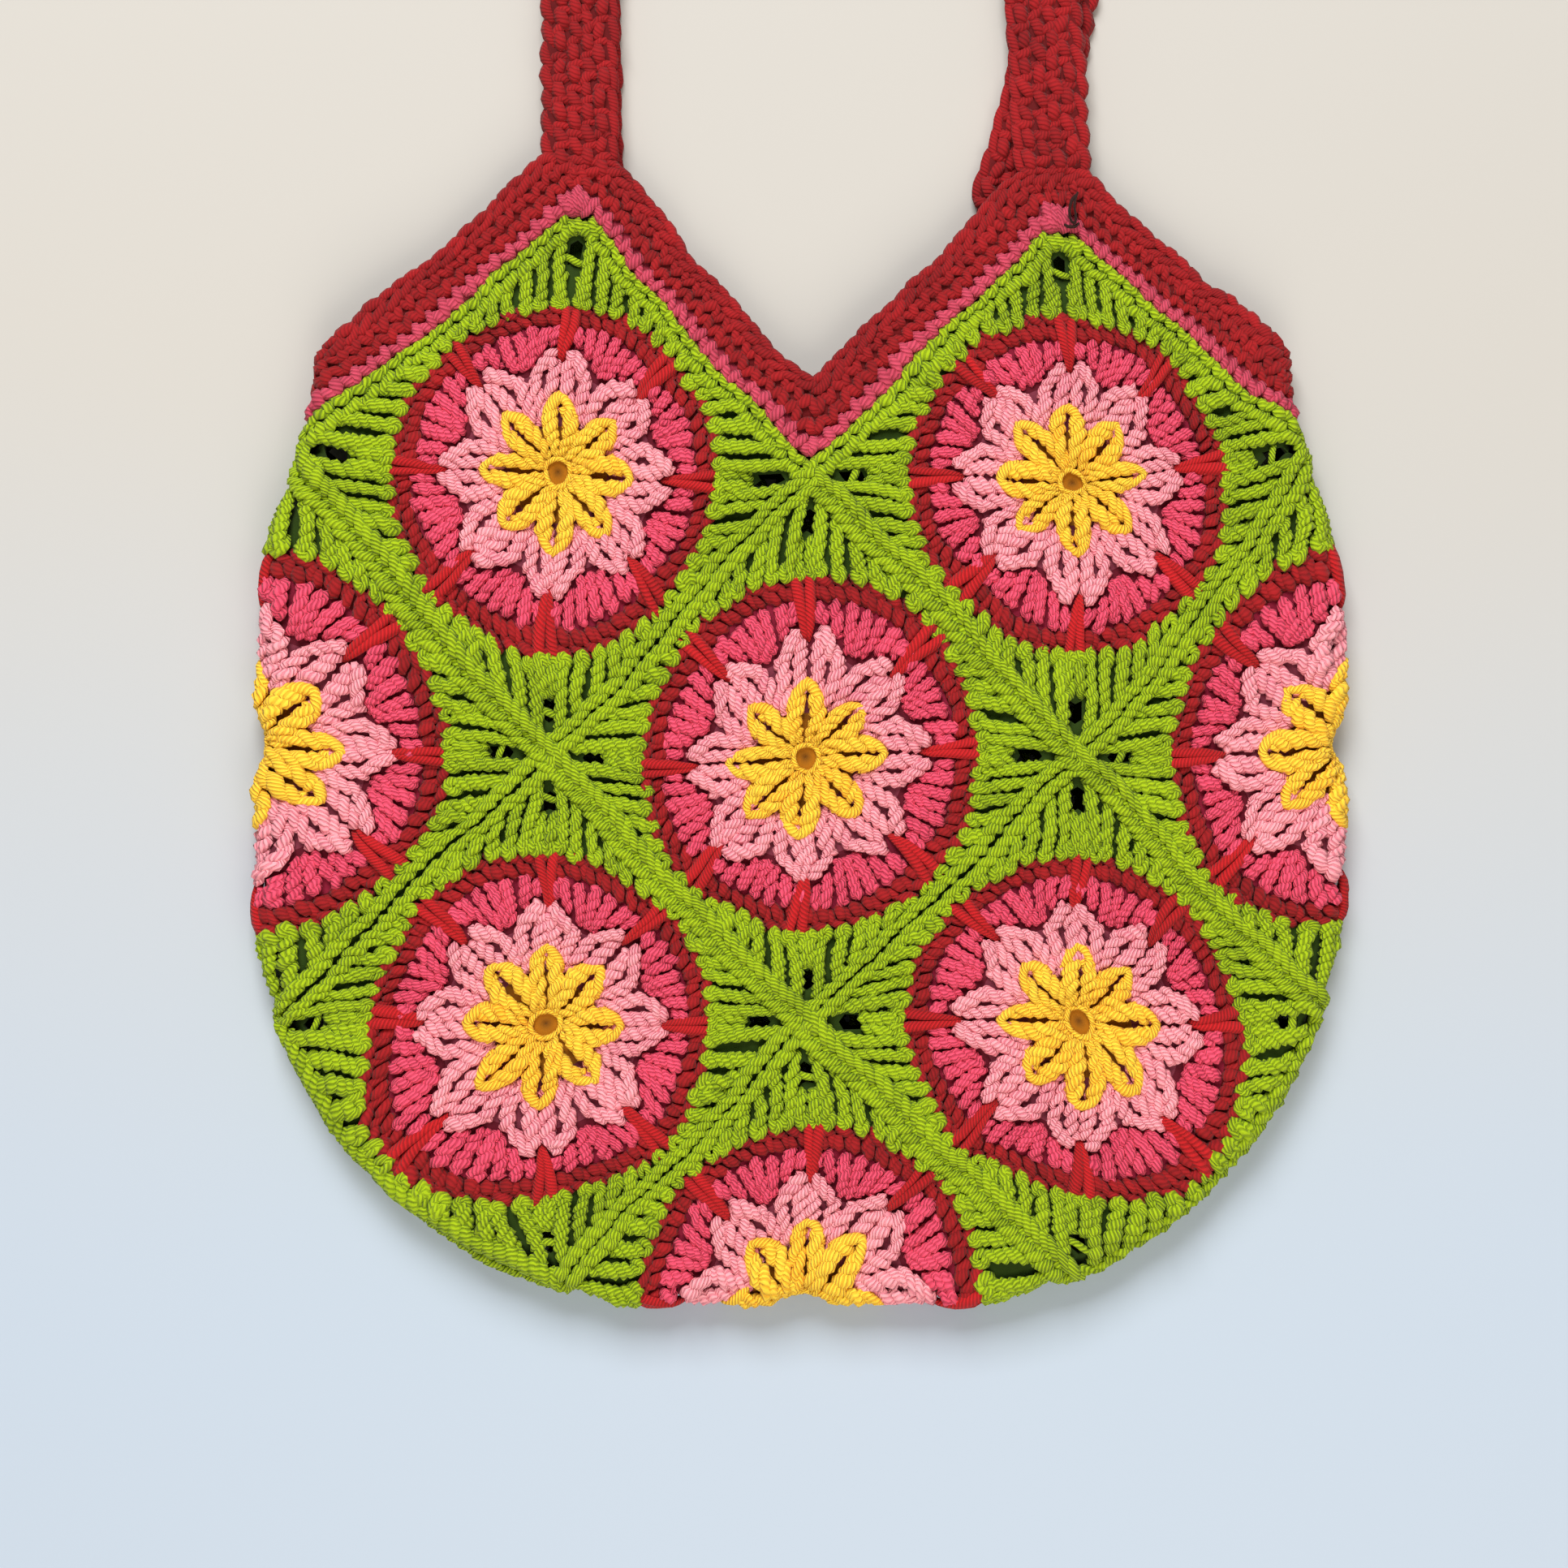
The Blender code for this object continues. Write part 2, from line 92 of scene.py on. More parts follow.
# The right peak lies lower than in the pattern and draws the cloth round it along, in metres
PEAK_DROP = 0.0045
DROP_BESIDE = 0.095
DROP_ABOVE = 0.110
DROP_BELOW = 0.170

# Crochet in millimetres
SIDE_MM = SQUARE_SIDE * 1000
HALF_DIAGONAL_MM = HALF_DIAGONAL * 1000
FREE_TIP_MM = math.sqrt(2) * 1000 * (SQUARE_SIDE / 2 + FREE_EDGE)
CENTRE_HOLE_RADIUS = 4.6
RING_RADIUS = 53.9
POST_FOOT_RADIUS = 56.6
POST_HEAD_SPREAD = 54.5
SLOT_POST_FOOT = 56.8
STRAP_PITCH = 7.7
STRAP_COLUMNS = (6.3, 1.8, -2.9, -7.7)

# Counts of stitches
SPOKES = 8
RING_STITCHES = 62
POSTS_ON_A_SIDE = 14
FREE_ROW_STITCHES = 18
SEAM_STITCHES = 32

# Angles in degrees
SPOKE_STEP = 360 / SPOKES
QUARTER = 90.0
CORNER = 45.0
POST_FAN = 39.2

# Unevenness of handwork in millimetres: the broad lie, a stitch's points, and its place by piece
UNEVEN_LIE = 0.75
LIE_SEED = 7
UNEVEN_STITCH = 0.28
SQUARE_JITTER = 0.18
SEAM_JITTER = 0.15
EDGING_JITTER = 0.22
STRAP_JITTER = 0.25
END_JITTER = 0.05

# Tubes: sides of the yellow and of the other yarns, and points for each turn of a pair
YELLOW_SIDES = 6
YARN_SIDES = 5
TURN_POINTS = 3.8

# Yarns, in the order of their materials in COTTON
YARNS = ["yellow", "light_pink", "deep_pink", "red", "green", "edge_pink", "edge_red", "brown"]

# Node, centre in half diagonals and whether it is at the mouth; the back lies past the right fold
SQUARES = [
    ("square_front_top_left", -1, 1, True),
    ("square_front_top_right", 1, 1, True),
    ("square_front_middle", 0, 0, False),
    ("square_front_bottom_left", -1, -1, False),
    ("square_front_bottom_right", 1, -1, False),
    ("square_back_top_left", 5, 1, True),
    ("square_back_top_right", 3, 1, True),
    ("square_back_middle", 4, 0, False),
    ("square_back_bottom_left", 5, -1, False),
    ("square_back_bottom_right", 3, -1, False),
    ("square_side_left", -2, 0, False),
    ("square_side_right", 2, 0, False),
    ("square_bottom", 0, -2, False),
]

# Middles of the seams in half diagonals
FRONT_SEAMS = [(-0.5, 0.5), (0.5, 0.5), (-0.5, -0.5), (0.5, -0.5), (-1.5, 0.5), (1.5, 0.5),
               (-1.5, -0.5), (1.5, -0.5), (-0.5, -1.5), (0.5, -1.5), (-1.5, -1.5), (1.5, -1.5)]
BACK_SEAMS = [(-2.5, 0.5), (2.5, 0.5), (-2.5, -0.5), (2.5, -0.5), (3.5, 0.5), (4.5, 0.5),
              (3.5, -0.5), (4.5, -0.5), (-0.5, -2.5), (0.5, -2.5)]


def ease(share):
    """Smooth step from 0 to 1."""
    share = np.clip(share, 0.0, 1.0)
    return share * share * (3 - 2 * share)


def outline_reach(across, down, wide):
    """Distance from the middle to the rounded outline along a direction."""
    below = -BOTTOM_FOLD + BOTTOM_SWELL
    core_x = wide - LOW_CORNER_RADIUS
    core_y = below - LOW_CORNER_RADIUS
    along = across * core_x + down * core_y
    inside = along ** 2 - core_x ** 2 - core_y ** 2 + LOW_CORNER_RADIUS ** 2
    reach = along + np.sqrt(np.maximum(inside, 0.0))
    side = (across > 0) & (down * wide <= core_y * across)
    low = (down > 0) & (across * below <= core_x * down)
    reach = np.where(low, below / np.maximum(down, 1e-9), reach)
    return np.where(side, wide / np.maximum(across, 1e-9), reach)


def lay_out(flat):
    """Points on the bag, in metres from the middle square, for pattern points u, v, height."""
    u, v, height = flat[:, 0], flat[:, 1], flat[:, 2]
    over = np.abs(u) > SIDE_FOLD
    u = np.where(over, np.copysign(2 * SIDE_FOLD, u) - u, u)
    under = v < BOTTOM_FOLD
    v = np.where(under, 2 * BOTTOM_FOLD - v, v)
    past_seam = (v < 0) & (np.abs(u) - v > LOW_SEAM)
    sign = np.where(u < 0, -1.0, 1.0)
    u, v = (np.where(past_seam, sign * (LOW_SEAM + v), u),
            np.where(past_seam, np.abs(u) - LOW_SEAM, v))
    back = over ^ under ^ past_seam

    swell = np.where(sign < 0, LEFT_SWELL, RIGHT_SWELL)
    upward = v / HALF_DIAGONAL
    taper = SHOULDER_TAPER * ease((upward - TAPER_START) / TAPER_SPAN)
    wide = SIDE_FOLD + swell - taper
    share = np.abs(u) / SIDE_FOLD
    upper_x = u * (1 + (wide / SIDE_FOLD - 1) * share ** 3)

    run = np.maximum(np.hypot(u, v), 1e-9)
    across, down = np.abs(u) / run, np.abs(v) / run
    reach = LOW_SEAM / (across + down)
    reach = np.minimum(reach, SIDE_FOLD / np.maximum(across, 1e-9))
    reach = np.minimum(reach, -BOTTOM_FOLD / np.maximum(down, 1e-9))
    full = outline_reach(across, down, wide)
    stretch = 1 + (full / reach - 1) * (run / reach) ** 3
    lower_x, lower_y = u * stretch, v * stretch
    past_x = np.abs(lower_x) - (wide - LOW_CORNER_RADIUS)
    past_y = -lower_y - (-BOTTOM_FOLD + BOTTOM_SWELL - LOW_CORNER_RADIUS)
    away = np.maximum(np.hypot(past_x, past_y), 1e-9)
    rounded = (past_x > 0) & (past_y > 0)
    sideways = past_x > past_y
    low_depth = LOW_CORNER_RADIUS - np.where(rounded, away, np.where(sideways, past_x, past_y))
    low_out_x = np.where(rounded, sign * past_x / away, np.where(sideways, sign, 0.0))
    low_out_y = np.where(rounded, -past_y / away, np.where(sideways, 0.0, -1.0))

    above = v >= 0
    x = np.where(above, upper_x, lower_x)
    y = np.where(above, v, lower_y)
    depth = np.where(above, wide - np.abs(upper_x), low_depth)
    out_x = np.where(above, sign, low_out_x)
    out_y = np.where(above, 0.0, low_out_y)

    along = depth + SIDE_EASE * (1 - np.maximum(1 - depth / FOLD_REACH, 0.0) ** 2)
    turn = np.minimum(along / FOLD_RADIUS, math.pi / 2)
    inset = np.where(turn < math.pi / 2, FOLD_RADIUS * (1 - np.cos(turn)), along - SIDE_EASE)
    x = x + out_x * (depth - inset)
    y = y + out_y * (depth - inset)
    rise = np.sin(turn)
    body = ease(depth / PUFF_REACH) * (1 - ease((upward - PUFF_END) / PUFF_SPAN))
    flap = ease((v - HALF_DIAGONAL) / HALF_DIAGONAL)
    front_z = FOLD_RADIUS * (1 + rise) + rise * (BODY_PUFF * body - FLAP_DROOP * flap)
    z = BACK_MIDDLE + np.where(back, FOLD_RADIUS * (1 - rise), front_z)

    over_middle = np.maximum(v, 0.0) / HALF_DIAGONAL
    inner = np.where(back, 1 - (u / SIDE_FOLD) ** 2, 0.0)
    x = x * (1 - (PINCH + BACK_PINCH * inner) * over_middle ** 2)
    x = x + (LEAN - BACK_LEAN * inner) * over_middle
    fold_lift = FOLD_LIFT * (np.abs(u) / SIDE_FOLD) ** 4 * ease(v / SIDE_FOLD + 0.5)
    y = y + ROW_LIFT * ease(over_middle) + fold_lift - BACK_SINK * inner * ease(over_middle / 2)

    outward = np.stack([out_x * np.cos(turn), out_y * np.cos(turn), np.where(back, -rise, rise)], 1)
    squash = 1 + LYING_SQUASH * np.minimum(outward[:, 2], 0.0) * (height > 0)
    place = np.stack([x, y, z], 1) + outward * (height * squash)[:, None]
    place[:, 2] = np.maximum(place[:, 2], LYING_CLEARANCE)
    return place


def smooth(points, count):
    """Points of an even curve through a stitch's few drawn points."""
    points = np.asarray(points, float)
    ends = np.vstack([2 * points[0] - points[1], points, 2 * points[-1] - points[-2]])
    at = np.linspace(0, len(points) - 1, count)
    step = np.minimum(at.astype(int), len(points) - 2)
    share = (at - step)[:, None]
    a, b, c, d = ends[step], ends[step + 1], ends[step + 2], ends[step + 3]
    return 0.5 * (2 * b + (c - a) * share + (2 * a - 5 * b + 4 * c - d) * share ** 2
                  + (3 * b - 3 * c + d - a) * share ** 3)


def pair(points, spread, pitch, rng):
    """Two strands that wind round each other along a post.

    spread is their distance from its middle in strand radii, and pitch the length of a turn.
    """
    drawn = np.array(points, float)
    drawn[:, :3] += rng.normal(0, UNEVEN_STITCH, (len(drawn), 3))
    length = np.linalg.norm(np.diff(drawn[:, :2], axis=0), axis=1).sum()
    turns = length / pitch * rng.uniform(0.85, 1.15)
    count = max(5, int(turns * TURN_POINTS) + 3)
    middle = smooth(drawn, count)
    way = np.gradient(middle[:, :2], axis=0)
    way /= np.linalg.norm(way, axis=1)[:, None]
    angle = rng.uniform(0, 2 * math.pi) + 2 * math.pi * turns * np.linspace(0, 1, count)
    strands = []
    for start in (0.0, math.pi):
        strand = middle.copy()
        side = spread * middle[:, 3] * np.cos(angle + start)
        strand[:, 0] += -way[:, 1] * side
        strand[:, 1] += way[:, 0] * side
        strand[:, 2] += 0.75 * spread * middle[:, 3] * np.sin(angle + start)
        strands.append(strand)
    return strands


def turned(strand, degrees):
    """A strand turned about the centre of its square."""
    angle = math.radians(degrees)
    result = strand.copy()
    result[:, 0] = strand[:, 0] * math.cos(angle) - strand[:, 1] * math.sin(angle)
    result[:, 1] = strand[:, 0] * math.sin(angle) + strand[:, 1] * math.cos(angle)
    return result


def work_row(line, stitches, strokes, detail, yarn, closed=False):
    """Stitches along a line: yarn, strand.

    A stroke is points of along, across, h and radius, and detail is its count of curve points.
    """
    line = np.asarray(line, float)
    steps = np.linalg.norm(np.diff(line, axis=0), axis=1)
    run = np.concatenate([[0], np.cumsum(steps)])
    pitch = run[-1] / stitches
    way = np.gradient(line, run, axis=0)
    way /= np.linalg.norm(way, axis=1)[:, None]
    row = []
    for index in range(stitches):
        start = (index + 0.5) * pitch
        for points in strokes:
            stroke = smooth(points, detail)
            at = start + stroke[:, 0]
            if closed:
                at = at % run[-1]
            near = np.clip(at, 0, run[-1])
            over = at - near
            foot = np.stack([np.interp(near, run, line[:, axis]) for axis in (0, 1)], 1)
            turn = np.stack([np.interp(near, run, way[:, axis]) for axis in (0, 1)], 1)
            turn /= np.linalg.norm(turn, axis=1)[:, None]
            out = np.stack([-turn[:, 1], turn[:, 0]], 1)
            place = foot + turn * over[:, None] + out * stroke[:, 1][:, None]
            row.append((yarn, np.column_stack([place, stroke[:, 2], stroke[:, 3]])))
    return row


# One eighth of the flower, drawn to the right: along the ray, across it, h, radius
def petal(rng):
    """Yellow petal: two posts of two strands and the loop of its tip."""
    strands = []
    for side in (-1, 1):
        post = [(5.2, 1.05 * side, 0.0, 0.85), (9.0, 2.1 * side, 1.9, 1.3),
                (14.0, 3.4 * side, 2.9, 1.8), (18.8, 3.4 * side, 2.7, 1.8),
                (22.4, 1.9 * side, 1.8, 1.4)]
        strands += pair(post, spread=0.85, pitch=8.0, rng=rng)
    wide = rng.uniform(2.3, 2.9)
    tip = rng.uniform(25.0, 26.2)
    loop = [(18.0, -5.4, 0.7, 1.3), (20.6, -4.5, 2.3, 1.65), (23.6, -wide, 3.0, 1.7),
            (tip, 0.0, 2.7, 1.65),
            (23.6, wide, 3.0, 1.7), (20.6, 4.5, 2.3, 1.65), (18.0, 5.4, 0.7, 1.3)]
    strands.append(smooth(loop, 13))
    return strands


def shell(rng):
    """Light pink V: two legs of two posts each, and the chain along their tops."""
    strands = []
    for side in (-1, 1):
        inner = [(17.4, 1.3 * side, -0.5, 1.2), (23.0, 1.9 * side, 1.2, 1.55),
                 (28.5, 2.6 * side, 1.9, 1.6), (33.4, 3.7 * side, 1.3, 1.45)]
        outer = [(18.0, 4.8 * side, -0.5, 1.25), (23.4, 6.7 * side, 1.1, 1.65),
                 (29.4, 9.4 * side, 1.8, 1.7), (35.4, 12.4 * side, 1.4, 1.6)]
        top = [(31.2, 2.6 * side, 0.9, 1.2), (33.9, 5.8 * side, 2.6, 1.5),
               (36.2, 9.5 * side, 2.8, 1.6), (38.0, 12.9 * side, 2.1, 1.5)]
        strands += pair(inner, spread=0.95, pitch=7.6, rng=rng)
        strands += pair(outer, spread=0.95, pitch=7.6, rng=rng)
        strands += pair(top, spread=0.85, pitch=7.0, rng=rng)
    return strands


def fan(rng):
    """Deep pink fan: seven fat posts that spread out of the hole of the V."""
    rows = [(35.4, 0.0, 48.6, 0.0), (35.8, 2.4, 48.2, 5.6),
            (38.4, 7.0, 47.2, 11.2), (40.7, 12.0, 45.0, 16.0)]
    strands = []
    for near, near_across, far, far_across in rows:
        for side in ((-1, 1) if near_across else (1,)):
            reach = far + rng.uniform(-0.9, 0.9)
            halfway = ((near + far) / 2, side * (near_across + far_across) / 2)
            post = [(near, near_across * side, 0.9, 1.2),
                    (*halfway, 2.7 + rng.normal(0, 0.5), 1.5),
                    (reach, far_across * side, 1.6, 1.5)]
            strands += pair(post, spread=0.78, pitch=5.6, rng=rng)
    return strands


def spike(rng):
    """Long red spike stitch over the flower's rounds."""
    strands = []
    lean = rng.uniform(-1.1, 1.1)
    splay = rng.uniform(2.0, 3.2)
    for side in (-1, 1):
        leg = [(58.0, splay * side + lean, 1.2, 1.7),
               (52.6, (0.35 * splay + 1.0) * side + lean * 0.8, 3.2, 2.0),
               (46.6, 1.3 * side + lean * 0.4, 3.4, 1.8),
               (41.6, 0.8 * side, 2.7, 1.4), (37.4, 0.3 * side, 0.4, 0.8)]
        strands.append(smooth(leg, 9))
    return strands


def circle(radius, steps=96, pull=0.0):
    """Closed line about the centre of a square, worked anticlockwise, pulled in at the spokes."""
    angles = np.linspace(0, 2 * math.pi, steps + 1)
    reach = radius - pull * np.cos(SPOKES * angles)
    return np.stack([reach * np.cos(angles), reach * np.sin(angles)], 1)


def flower(rng):
    """All strands of a flower, about the centre of its square: yarn, strand."""
    strands = []
    for eighth in range(SPOKES):
        spoke = SPOKE_STEP * eighth + rng.normal(0, 1.2)
        between = spoke + SPOKE_STEP / 2
        strands += [("yellow", turned(strand, spoke)) for strand in petal(rng)]
        strands += [("light_pink", turned(strand, between)) for strand in shell(rng)]
        strands += [("deep_pink", turned(strand, between)) for strand in fan(rng)]
        strands += [("red", turned(strand, spoke)) for strand in spike(rng)]
    centre = [(-2.0, 0.0, 0.1, 1.0), (0.0, 0.0, 0.4, 1.0), (2.0, 0.0, 0.1, 1.0)]
    strands += work_row(circle(CENTRE_HOLE_RADIUS), SPOKES, [centre], 4, "yellow", closed=True)
    # The red round under the green loops is in the darker edge red: painted shade for the shade it
    # lies in
    inner = [(-1.2, 4.6, 0.7, 1.4), (-0.1, 3.0, 2.1, 1.95), (0.9, 0.9, 1.2, 1.6)]
    outer = [(-2.6, -0.2, 0.9, 1.5), (0.2, -1.7, 1.9, 2.0), (2.4, -3.4, 0.4, 1.4)]
    filler = [(1.2, 3.9, 0.4, 1.3), (2.4, 1.8, 1.5, 1.6), (2.7, -0.8, 0.7, 1.4)]
    strands += work_row(circle(RING_RADIUS, pull=0.5), RING_STITCHES, [inner, outer, filler], 4,
                        "edge_red", closed=True)
    return strands


def green_stitch(foot, head, rng):
    """Green stitch: a post of two strands from the edge, and its round loop at the flower."""
    way = head - foot
    run = np.linalg.norm(way)
    way /= run
    out = np.array([-way[1], way[0]])
    high = 2.9 + rng.normal(0, 0.4)
    half = 1.5 + rng.normal(0, 0.15)
    loop = [(*(foot + way * 3.8 - out * half * 0.7), 0.9, 1.2),
            (*(foot + way * 1.4 - out * half), high, 1.45),
            (*(foot - way * 0.9), high, 1.55),
            (*(foot + way * 1.4 + out * half), high, 1.45),
            (*(foot + way * 3.8 + out * half * 0.7), 0.9, 1.2)]
    strands = [smooth(loop, 9)]
    if run > 4.5:
        bow = out * rng.normal(0, 0.5)
        post = [(*(foot + way * 1.0), high - 0.5, 1.3),
                (*(foot + way * run * 0.5 + bow), high - 0.1, 1.6), (*head, 0.9, 1.3)]
        strands += pair(post, spread=0.75, pitch=6.0, rng=rng)
    return strands


def green_posts(free_sides, rng):
    """Green stitches from the flower to the four edges: long at the corners, short between."""
    result = []
    half = (POSTS_ON_A_SIDE - 1) / 2
    for side in range(4):
        edge_angle = CORNER + QUARTER * side
        reach = SIDE_MM / 2 - (0.6 if side in free_sides else 3.4)
        for index in range(POSTS_ON_A_SIDE):
            share = (index - half) / half
            angle = math.radians(share * POST_FAN + rng.normal(0, 0.5))
            foot = np.array([math.cos(angle), math.sin(angle)])
            foot = (POST_FOOT_RADIUS + rng.normal(0, 0.5)) * foot
            foot[0] = min(foot[0], reach - 2.6)
            head = np.array([reach, share * POST_HEAD_SPREAD + rng.normal(0, 0.4)])
            result += [("green", turned(strand, edge_angle))
                       for strand in green_stitch(foot, head, rng)]
        # Two posts beside the corner's slot, and on some corners a thread across it
        beside = (1.9, 2.2, 2.0, 1.8)[side] + (1.2 if free_sides and side == 1 else 0.0)
        far = rng.uniform(67.5, 70.5)
        for across in (-beside, beside):
            foot, head = np.array([SLOT_POST_FOOT, across]), np.array([far, across * 0.95])
            result += [("green", turned(strand, QUARTER * side))
                       for strand in green_stitch(foot, head, rng)]
        bridge = rng.uniform(72.0, 74.5)
        over = [(bridge - 0.8, -3.4, 0.6, 1.2), (bridge, 0.0, 1.6, 1.3),
                (bridge + 1.4, 3.4, 0.6, 1.2)]
        if rng.random() < 0.5:
            result.append(("green", turned(smooth(over, 6), QUARTER * side)))
    if free_sides:
        # Knots that round off the corner at the mouth
        for across in (-6.2, -3.4, -0.7, 2.0, 4.8):
            tip = FREE_TIP_MM - 8.0 - abs(across) * 0.4
            knot = [(tip - 3.6, across - 1.4, 1.0, 1.4), (tip - 1.6, across, 2.6, 2.0),
                    (tip + 0.8, across + 1.5, 1.6, 1.7)]
            result.append(("green", turned(smooth(knot, 5), QUARTER)))
    return result


def free_rows(side):
    """One more row of green stitches along an edge at the mouth, shorter at the free corner."""
    edge = SIDE_MM / 2
    line = np.array([[edge, 58.5 if side == 0 else 63.5], [edge, 0.0],
                     [edge, -58.5 if side == 1 else -63.5]])
    low = [(-2.9, -3.6, 1.1, 1.6), (-1.1, -2.3, 2.6, 2.1), (0.8, -0.9, 1.5, 1.7)]
    knot = [(0.2, -3.2, 1.0, 1.5), (2.3, -1.7, 2.4, 2.0), (3.6, -0.2, 1.2, 1.6)]
    high = [(-2.8, 3.1, 1.1, 1.6), (-1.0, 1.8, 2.6, 2.1), (1.0, 0.9, 1.4, 1.7)]
    loop = [(3.5, 3.2, 1.1, 1.5), (2.0, 2.1, 2.5, 2.0), (0.7, 1.5, 1.3, 1.5)]
    row = work_row(line, FREE_ROW_STITCHES, [low, knot, high, loop], 4, "green")
    return [(yarn, turned(strand, CORNER + QUARTER * side)) for yarn, strand in row]


def straight(middle, rising, half):
    """Line along a seam, half millimetres each way from its middle in half diagonals."""
    centre = np.array(middle) * HALF_DIAGONAL_MM
    way = np.array([1.0, 1.0 if rising else -1.0]) / math.sqrt(2)
    return np.array([centre - way * half, centre, centre + way * half])


def seam(middle, rng):
    """Join between two squares: a braid where it falls to the right, two ropes where it rises."""
    rising = round(middle[0] + middle[1]) % 2 == 0
    half = SIDE_MM / 2
    if rising:
        line = straight(middle, True, half + 1.5)
        core = smooth(np.column_stack([line, [2.2] * 3, [1.6] * 3]), 61)
        way = np.array([1.0, 1.0]) / math.sqrt(2)
        strands = []
        for side in (-1, 1):
            rope = core.copy()
            rope[:, 0] += -way[1] * 2.3 * side
            rope[:, 1] += way[0] * 2.3 * side
            strands += [("green", strand) for strand in pair(rope, spread=0.75, pitch=8.5, rng=rng)]
        return strands
    line = straight(middle, False, half)
    left = [(-3.0, 4.6, 1.6, 1.3), (0.0, 3.2, 3.4, 1.75), (3.6, 0.9, 2.7, 1.5)]
    right = [(-3.0, -4.6, 1.6, 1.3), (0.0, -3.2, 3.4, 1.75), (3.6, -0.9, 2.7, 1.5)]
    core = smooth(np.column_stack([line, [1.6] * 3, [1.9] * 3]), 31)
    return [("green", core)] + work_row(line, SEAM_STITCHES, [left, right], 5, "green")


def mouth_line(width, steps=1600):
    """Line round the whole mouth, in millimetres, at a width in metres outside the squares."""
    u = np.linspace(-2 * SIDE_FOLD, 2 * SIDE_FOLD, steps + 1)
    from_fold = np.abs((u + SIDE_FOLD) % (2 * SIDE_FOLD) - SIDE_FOLD)
    zigzag = HALF_DIAGONAL - np.abs(from_fold - HALF_DIAGONAL)
    share = width / (PINK_WIDTH + RED_WIDTH)
    free = math.sqrt(2) * (SQUARE_SIDE / 2 + FREE_EDGE + width)
    widening = math.sqrt(2) * PEAK_WIDENING * zigzag / HALF_DIAGONAL * share
    line = np.minimum(free + widening + zigzag, PEAK + SEAT_HEIGHT * share)
    # Peaks and valleys are rounded over about a hundredth of the mouth
    reach = max(1, round(steps * 0.011))
    kernel = np.hanning(reach * 2 + 3)[1:-1]
    kernel /= kernel.sum()
    wrapped = np.concatenate([line[-reach - 1:-1], line, line[1:reach + 1]])
    line = np.convolve(wrapped, kernel, mode="valid")
    return np.stack([u, line], 1) * 1000


def edging():
    """Pink round with a cap of knots over each peak, two red rounds and the rope that ends them."""
    left = [(-2.9, -2.2, 0.9, 1.4), (-1.6, 0.6, 2.8, 2.1), (-1.2, 3.5, 1.6, 1.7)]
    right = [(3.0, -1.9, 1.0, 1.5), (1.6, 0.2, 2.5, 2.1), (-0.4, 1.6, 1.5, 1.6)]
    strands = work_row(mouth_line(0.0014), 158, [left, right], 5, "edge_pink", closed=True)
    tip = HALF_DIAGONAL_MM + FREE_TIP_MM - 6.0
    for peak in (-1, 1, 3, -3):
        u = peak * HALF_DIAGONAL_MM
        for degrees in (28, 52, 76, 101, 126, 152):
            across, up = math.cos(math.radians(degrees)), math.sin(math.radians(degrees))
            knot = [(u + 1.6 * across, tip + 0.4 * up, 1.6, 1.4),
                    (u + 4.0 * across, tip + 2.6 * up, 3.4, 1.9),
                    (u + 5.6 * across, tip + 5.4 * up, 3.1, 1.9),
                    (u + 6.0 * across, tip + 8.0 * up, 1.4, 1.5)]
            strands.append(("edge_pink", smooth(knot, 7)))
    oval = [(-2.6, -2.2, 0.8, 1.5), (-1.2, 0.1, 2.2, 2.1), (0.2, 2.4, 1.0, 1.6)]
    bar = [(0.2, 2.2, 0.9, 1.5), (2.0, 0.5, 2.1, 2.0), (3.4, -1.9, 0.8, 1.5)]
    outer = [(-4.6, 1.2, 0.8, 1.3), (-1.4, 1.8, 1.9, 1.8), (2.0, 1.3, 1.9, 1.8),
             (4.6, -0.3, 0.8, 1.3)]
    inner = [(-4.4, -1.9, 0.9, 1.3), (-1.0, -1.7, 2.4, 1.8), (2.4, -0.6, 2.4, 1.75),
             (4.4, 1.0, 1.0, 1.3)]
    for width, stitches, strokes, detail in ((0.0064, 158, [oval, bar], 4),
                                             (0.0109, 164, [bar, oval], 4),
                                             (0.0152, 156, [outer, inner], 5)):
        strands += work_row(mouth_line(width), stitches, strokes, detail, "edge_red", closed=True)
    return strands


def handle_route(back):
    """Middle line of a handle in metres from the middle square, as in the part's source."""
    peak = PEAK + SEAT_HEIGHT + SEAT_GAP
    seats = [[place * HALF_DIAGONAL, peak, 0.0] for place in (-1, 1, 5, 3)]
    front_left, front_right, back_left, back_right = lay_out(np.array(seats))
    left, right = (back_left, back_right) if back else (front_left, front_right)
    if back:
        left[0] -= BACK_STRAP_TUCK
        right[0] -= 2 * BACK_STRAP_TUCK
    spring_right = front_right[0] - FRONT_LEG_LEAN + (BACK_SPRING_SHIFT if back else 0.0)
    lying = HANDLE_THICKNESS / 2 if back else 1.5 * HANDLE_THICKNESS + GAP
    power = BACK_LEG_EASE if back else 1.0
    top = max(left[1], right[1]) + HANDLE_LEG

    def leg(seat, spring):
        share = np.linspace(0, 1, LEG_STEPS + 1)
        start = max(seat[2], HANDLE_THICKNESS / 2)
        x = seat[0] + (spring - seat[0]) * (1 - (1 - share) ** power)
        y = seat[1] + (top - seat[1]) * share
        z = start + (lying - start) * ease(share * 3)
        return np.stack([x, y, z], 1)

    middle = (front_left[0] + spring_right) / 2
    radius = (spring_right - front_left[0]) / 2
    angles = math.pi * (1 - np.arange(1, ARCH_STEPS) / ARCH_STEPS)
    arch = np.stack([middle + radius * np.cos(angles), top + radius * np.sin(angles),
                     np.full(len(angles), lying)], 1)
    return np.vstack([leg(left, front_left[0]), arch, leg(right, spring_right)[::-1]])


